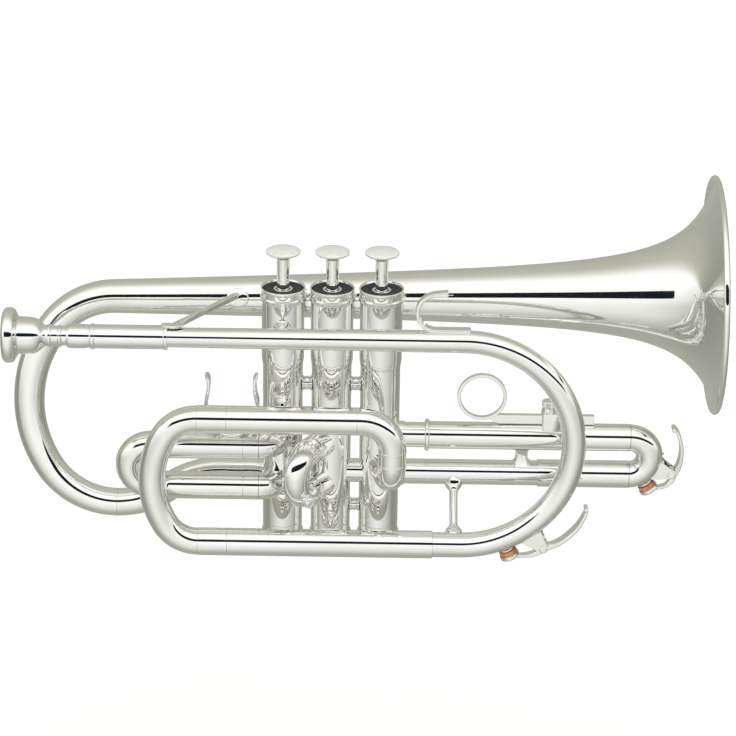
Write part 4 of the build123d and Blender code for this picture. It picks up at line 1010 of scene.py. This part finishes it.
post_shells = []
for number in "13":
    valve_x = VALVES[number]
    ends = ((valve_x, 0, BELL_Z), (valve_x, BELL_Y, BELL_Z))
    post_shells.append(post(casing_bar(number, CASING_TOP_R), bell_bar(valve_x), *ends, 2.4, 3.6))
LEAD_POST_DROP = 4.4
LOWER_POST_Z = -50.4
tube_posts = (
    ("1", LEAD_Z, LEAD_Z - LEAD_POST_DROP, 5.1, CASING_TOP_R),
    ("1", MAIN_UPPER_Z, MAIN_UPPER_Z, TUBE_R, CASING_R),
    ("2", MAIN_LOWER_Z, LOWER_POST_Z, TUBE_R, CASING_R),
)
for number, tube_z, casing_z, tube_r, casing_r in tube_posts:
    ends = ((VALVES[number], LEAD_Y, tube_z), (VALVES[number], 0, casing_z))
    post_shells.append(post(lying_bar(LEAD_Y, tube_z, tube_r), casing_bar(number, casing_r), *ends))
piece("soldered_posts", post_shells, "valve_posts")

STRAP_X = (-76.0, -47.0)
strap_start = Vector((STRAP_X[0], LEAD_Y + 1.0, LEAD_Z + 5.0))
strap_end = Vector((STRAP_X[1], BELL_Y - 8.0, BELL_Z + 2.9))
strap_stations = stations_along(through((strap_start, strap_start.lerp(strap_end, 0.5), strap_end), 12), Z)
count = len(strap_stations)
strap_heights = [2.2 + 0.9 * abs(2 * index / (count - 1) - 1) ** 3 for index in range(count)]
strap_shells = [strap(strap_stations, [3.4] * count, strap_heights, 0.9)]
strap_shells.append(pad(lying_bar(LEAD_Y, LEAD_Z, 6.15), (0, 0.2, 1), strap_start, 11.0, 70.0, 0.9))
strap_shells.append(pad(bell_bar(STRAP_X[1]), (0, -1, 0.25), strap_end, 11.0, 60.0, 0.9))
piece("strap_brace", strap_shells, "bell_strap_brace")

HOOK_R = 9.2
HOOK_X = 50.4
HOOK_Z = 60.2
hook_route = Route((HOOK_X + 16.0, LEAD_Y, HOOK_Z), -X, Y)
hook_route.run(15.5, 4).run(0.5).bend(HOOK_R, 176, Z).run(5.5, 3)
hook_shares = [index / (len(hook_route.stations) - 1) for index in range(len(hook_route.stations))]
hook_widths = [5.6 - 1.0 * share for share in hook_shares]
hook_heights = [1.9 + 0.9 * max(0.0, (share - 0.9) / 0.1) ** 2 for share in hook_shares]
piece("little_finger_hook", [strap(hook_route.stations, hook_widths, hook_heights, 0.7)], "finger_hook")

# --- water keys ---


def polar(centre, radius, degrees):
    """A point in the X-Z plane at a radius and angle about a bend's centre."""
    return (centre[0] + radius * cosine(degrees), centre[1] + radius * sine(degrees))


def lever_sizes(spine, count):
    """Widths and heights of a lever's section, the heights from its spine's half thicknesses."""
    widths, heights = [], []
    for index in range(count):
        share = index / (count - 1)
        heights.append(2 * graded([half for _, _, half in spine])(share))
        widths.append(4.0 + 3.4 * math.sin(math.pi * min(1.0, max(0.0, (share - 0.4) / 0.75))) ** 1.2)
    return widths, heights


def water_key(prefix, plane_y, centre, wall_r, cork_angle, pivot, spine, base_body):
    """A lever on two lugs with its cork, nipple, pin and spring. prefix is also the lever's body."""
    pin = polar(centre, *pivot)
    outward = Vector((cosine(cork_angle), 0, sine(cork_angle)))
    cork_at = Vector((centre[0], plane_y, centre[1]))
    wall_at = cork_at + outward * wall_r
    nipple = [(-0.6, 1.6), (-0.6, 3.9), (0.2, 3.8), (0.7, 3.6), (0.7, 1.6)]
    shells = [turned(nipple, wall_at, outward, 0.25, 48)]
    away = math.degrees(math.atan2(pin[1] - centre[1], pin[0] - centre[0]))
    degrees_per_mm = 60 / wall_r
    lug = [polar(centre, wall_r - 0.8, pivot[1] + 4.5 * degrees_per_mm)]
    lug += [polar(pin, 2.4, away + 80 - 16 * step) for step in range(11)]
    lug.append(polar(centre, wall_r - 0.8, pivot[1] - 6.5 * degrees_per_mm))
    for lug_y in (-3.4, 3.4):
        shells.append(plate(lug, plane_y + lug_y, 1.2))
    piece(f"{prefix}_nipple_and_lugs", shells, f"{prefix}_seat", base_body)

    pin_outline = [(-4.9, 0), (-4.9, 1.5), (-4.5, 1.9), (-4.1, 1.9), (-4.1, 1.2), (4.5, 1.2)]
    pin_outline += [(4.8, 0.8), (4.8, 0)]
    pin_at = Vector((pin[0], plane_y, pin[1]))
    piece(f"{prefix}_hinge_pin", [turned(pin_outline, pin_at, Y, 0.2, 40)], f"{prefix}_pin", base_body)

    points = []
    for degrees, radius, _ in spine:
        x, z = polar(centre, radius, degrees)
        points.append((x, plane_y, z))
    stations = stations_along(through(points, 6), Y)
    cup = [(2.9, 4.45), (2.9, 4.85), (4.7, 4.85), (5.4, 4.0), (5.6, 0), (3.8, 0), (3.8, 4.45)]
    barrel_outline = [(-1.9, 1.25), (-1.9, 2.5), (1.9, 2.5), (1.9, 1.25)]
    roll = [(-3.2, 0), (-3.2, 0.7), (-2.8, 1.1), (2.8, 1.1), (3.2, 0.7), (3.2, 0)]
    tip = stations[-1][0]
    lever = [strap(stations, *lever_sizes(spine, len(stations)), 0.7)]
    lever.append(turned(cup, wall_at, outward, 0.3, 56))
    lever.append(turned(barrel_outline, pin_at, Y, 0.3, 48))
    lever.append(turned(roll, tip - (tip - cork_at).normalized() * 0.5, Y, 0.2, 28))
    piece(f"{prefix}_lever_blade", lever, f"{prefix}_lever", prefix)

    cork = turned([(0.75, 0), (0.75, 4.3), (3.75, 4.4), (3.75, 0)], wall_at, outward, 0.25, 56)
    piece(f"{prefix}_cork_pad", [cork], f"{prefix}_cork", prefix, "cork")

    coil = helix(pin_at + Y * 2.0, Y, outward, 1.95, 1.6, 0.75)
    foot_x, foot_z = polar(centre, wall_r + 0.5, pivot[1] + 4.2 * degrees_per_mm)
    foot = Vector((foot_x, plane_y + 2.75, foot_z))
    loop_at = foot + (foot - pin_at).normalized() * 1.4
    coil += [coil[-1].lerp(foot, 0.5), foot]
    coil += helix(loop_at, Y, (foot - loop_at).normalized(), (foot - loop_at).length, 0.8, 0.01)[2:]
    piece(f"{prefix}_coil_spring", [wire(coil, 0.33, Y)], f"{prefix}_spring", base_body, "spring_steel")


# Spines of the levers: degrees about the bend's centre, distance from it and half thickness
lead_spine = [(-65.6, 65.2, 0.8), (-61.0, 67.6, 0.9), (-56.5, 69.0, 1.4), (-52.8, 68.9, 2.0)]
lead_spine += [(-48.5, 70.6, 1.3), (-44.0, 71.6, 1.0), (-37.0, 72.0, 0.9), (-31.5, 71.2, 0.8)]
lead_spine.append((-28.4, 70.4, 0.7))
third_spine = [(-49.0, 22.4, 0.9), (-40.0, 24.4, 0.9), (-30.0, 25.0, 1.4), (-21.7, 24.3, 1.8)]
third_spine += [(-12.0, 25.2, 1.4), (0.0, 25.7, 1.0), (14.0, 26.4, 0.9), (28.0, 26.9, 0.8)]
third_spine.append((35.6, 26.9, 0.7))
lead_centre = (BOW_X, (LEAD_Z + MAIN_LOWER_Z) / 2)
third_centre = (THIRD_CROOK_X, third_mid_z)
third_wall = third_crook_r + CROOK_R
water_key("lead_key", LEAD_Y, lead_centre, bow_r + 6.05, -67.3, (67.9, -52.8), lead_spine, "horn")
water_key("third_key", 0.0, third_centre, third_wall, -59.3, (22.7, -21.7), third_spine, "third_slide")

# --- carried-over CAD nodes ---

kept_nodes = {f"piston_{number}": "piston_alloy" for number in VALVES}
kept_nodes["valve_guides"] = "guide_plastic"
for name, slot in kept_nodes.items():
    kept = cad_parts[name]
    kept.data.materials.clear()
    kept.data.materials.append(FINISHES[slot])

# --- floor ---


def stage_plane(name, size, place, finish):
    """A flat sheet beside the horn, in metres."""
    bpy.ops.mesh.primitive_plane_add(size=size, location=place)
    sheet = bpy.context.object
    sheet.name = name
    sheet.data.materials.append(finish)
    return sheet


FLOOR_Z = -0.32
floor = stage_plane("floor", 60, (0, 0, FLOOR_Z), pale_floor())
floor.visible_glossy = False

# --- light: a white tent, a black card and a soft lamp ---

# The tent seen along the horn: angle 0 is level towards the camera's side, 90 straight up.
TENT = (
    (-180, (0.41, 0.42, 0.37)),
    (-157, (0.38, 0.39, 0.34)),
    (-120, (0.38, 0.39, 0.34)),
    (-98, (0.37, 0.38, 0.34)),
    (-83, (0.38, 0.39, 0.35)),
    (-70, (0.43, 0.44, 0.40)),
    (-59, (0.51, 0.52, 0.48)),
    (-48, (0.60, 0.61, 0.57)),
    (-38, (0.70, 0.71, 0.67)),
    (-29, (0.78, 0.79, 0.75)),
    (-15, (0.84, 0.85, 0.81)),
    (-3, (0.92, 0.93, 0.90)),
    (5, (1.00, 1.00, 0.99)),
    (35, (1.04, 1.04, 1.03)),
    (45, (1.08, 1.08, 1.07)),
    (73, (1.10, 1.10, 1.08)),
    (82, (0.98, 0.98, 0.95)),
    (92, (0.78, 0.78, 0.72)),
    (103, (0.62, 0.62, 0.55)),
    (114, (0.52, 0.52, 0.45)),
    (141, (0.47, 0.47, 0.40)),
    (160, (0.44, 0.45, 0.39)),
    (180, (0.41, 0.42, 0.37)),
)
# Below the horizon the tent darkens to the sides, a little more on the bell's side.
SIDES = [(-1.0, 0.72), (-0.8, 0.82), (-0.5, 0.97), (-0.15, 1.08), (0.15, 1.03), (0.4, 0.92)]
SIDES += [(0.65, 0.82), (1.0, 0.70)]

scene = bpy.context.scene
scene.world = bpy.data.worlds.new("white_tent")
scene.world.use_nodes = True
tent = scene.world.node_tree
tent.nodes.clear()


def sum_of(operation, one, other):
    """A sum in the tent's light, of sockets or numbers."""
    new = node(tent, "ShaderNodeMath", operation=operation)
    for socket, value in zip(new.inputs, (one, other)):
        if isinstance(value, (int, float)):
            socket.default_value = value
        else:
            tent.links.new(value, socket)
    return new.outputs[0]


def mixed(factor, one, other, blend):
    """Two colours mixed in the tent's light."""
    mix = node(tent, "ShaderNodeMix", data_type="RGBA", blend_type=blend)
    tent.links.new(factor, mix.inputs["Factor"])
    tent.links.new(one, mix.inputs["A"])
    if isinstance(other, tuple):
        mix.inputs["B"].default_value = other
    else:
        tent.links.new(other, mix.inputs["B"])
    return mix.outputs["Result"]


direction = node(tent, "ShaderNodeTexCoord")
parts = node(tent, "ShaderNodeSeparateXYZ")
tent.links.new(direction.outputs["Generated"], parts.inputs[0])
turn = sum_of("ARCTAN2", parts.outputs["Z"], sum_of("MULTIPLY", parts.outputs["Y"], -1.0))
share = sum_of("ADD", sum_of("DIVIDE", turn, 2 * math.pi), 0.5)
panels = ramp(tent, share, [((angle + 180) / 360, colour) for angle, colour in TENT])
across = node(tent, "ShaderNodeMapRange", From_Min=-1.0)
tent.links.new(parts.outputs["X"], across.inputs["Value"])
sides = ramp(tent, across.outputs["Result"], [((x + 1) / 2, (shade, shade, shade)) for x, shade in SIDES])
lower = node(tent, "ShaderNodeMapRange", From_Min=0.3, From_Max=-0.1)
tent.links.new(parts.outputs["Z"], lower.inputs["Value"])
shaded = mixed(lower.outputs["Result"], panels, sides, "MULTIPLY")
seen = node(tent, "ShaderNodeLightPath")
backdrop = mixed(seen.outputs["Is Camera Ray"], shaded, (1, 1, 1, 1), "MIX")
glow = node(tent, "ShaderNodeBackground")
tent.links.new(backdrop, glow.inputs["Color"])
output = node(tent, "ShaderNodeOutputWorld")
tent.links.new(glow.outputs["Background"], output.inputs["Surface"])

# A black card in front of the horn, seen only in reflections, gives the tubes their dark line.
# Its places and sizes are in metres.
CARD_Y = -0.62
CARD_Z = 0.315
CARD_TILT = 27.0
CARD_HEIGHT = 0.235
CARD_ENDS_X = (-0.63, 1.6)
card = stage_plane("black_card", 1, (sum(CARD_ENDS_X) / 2, CARD_Y, CARD_Z), black_card())
card.scale = (CARD_ENDS_X[1] - CARD_ENDS_X[0], CARD_HEIGHT, 1)
card.rotation_euler = (math.radians(90 - CARD_TILT), 0, 0)
card.visible_camera = False
card.visible_diffuse = False
card.visible_shadow = False

lamp = bpy.data.lights.new("overhead_diffuser", "SUN")
lamp.angle = math.radians(120)
lamp.energy = 1.3
lamp_object = bpy.data.objects.new("overhead_diffuser", lamp)
lamp_object.rotation_euler = (math.radians(20), 0, 0)
lamp_object.visible_glossy = False
scene.collection.objects.link(lamp_object)

# --- camera ---

VIEW_TARGET = Vector((17.9, 0.0, 27.0)) * MM
VIEW_DISTANCE = 1.5
VIEW_PITCH = 23.0
VIEW_ROLL = 0.85
camera = bpy.data.cameras.new("camera")
camera.lens = 149.04
camera.clip_start = 0.01
camera.clip_end = 100
viewer = bpy.data.objects.new("camera", camera)
viewer.location = VIEW_TARGET + Vector((0, -cosine(VIEW_PITCH), sine(VIEW_PITCH))) * VIEW_DISTANCE
level = Matrix.Rotation(math.radians(90 - VIEW_PITCH), 4, "X")
roll = Matrix.Rotation(math.radians(VIEW_ROLL), 4, "Z")
viewer.rotation_euler = (level @ roll).to_euler()
scene.collection.objects.link(viewer)
scene.camera = viewer
scene.view_settings.view_transform = "Standard"
scene.view_settings.look = "None"
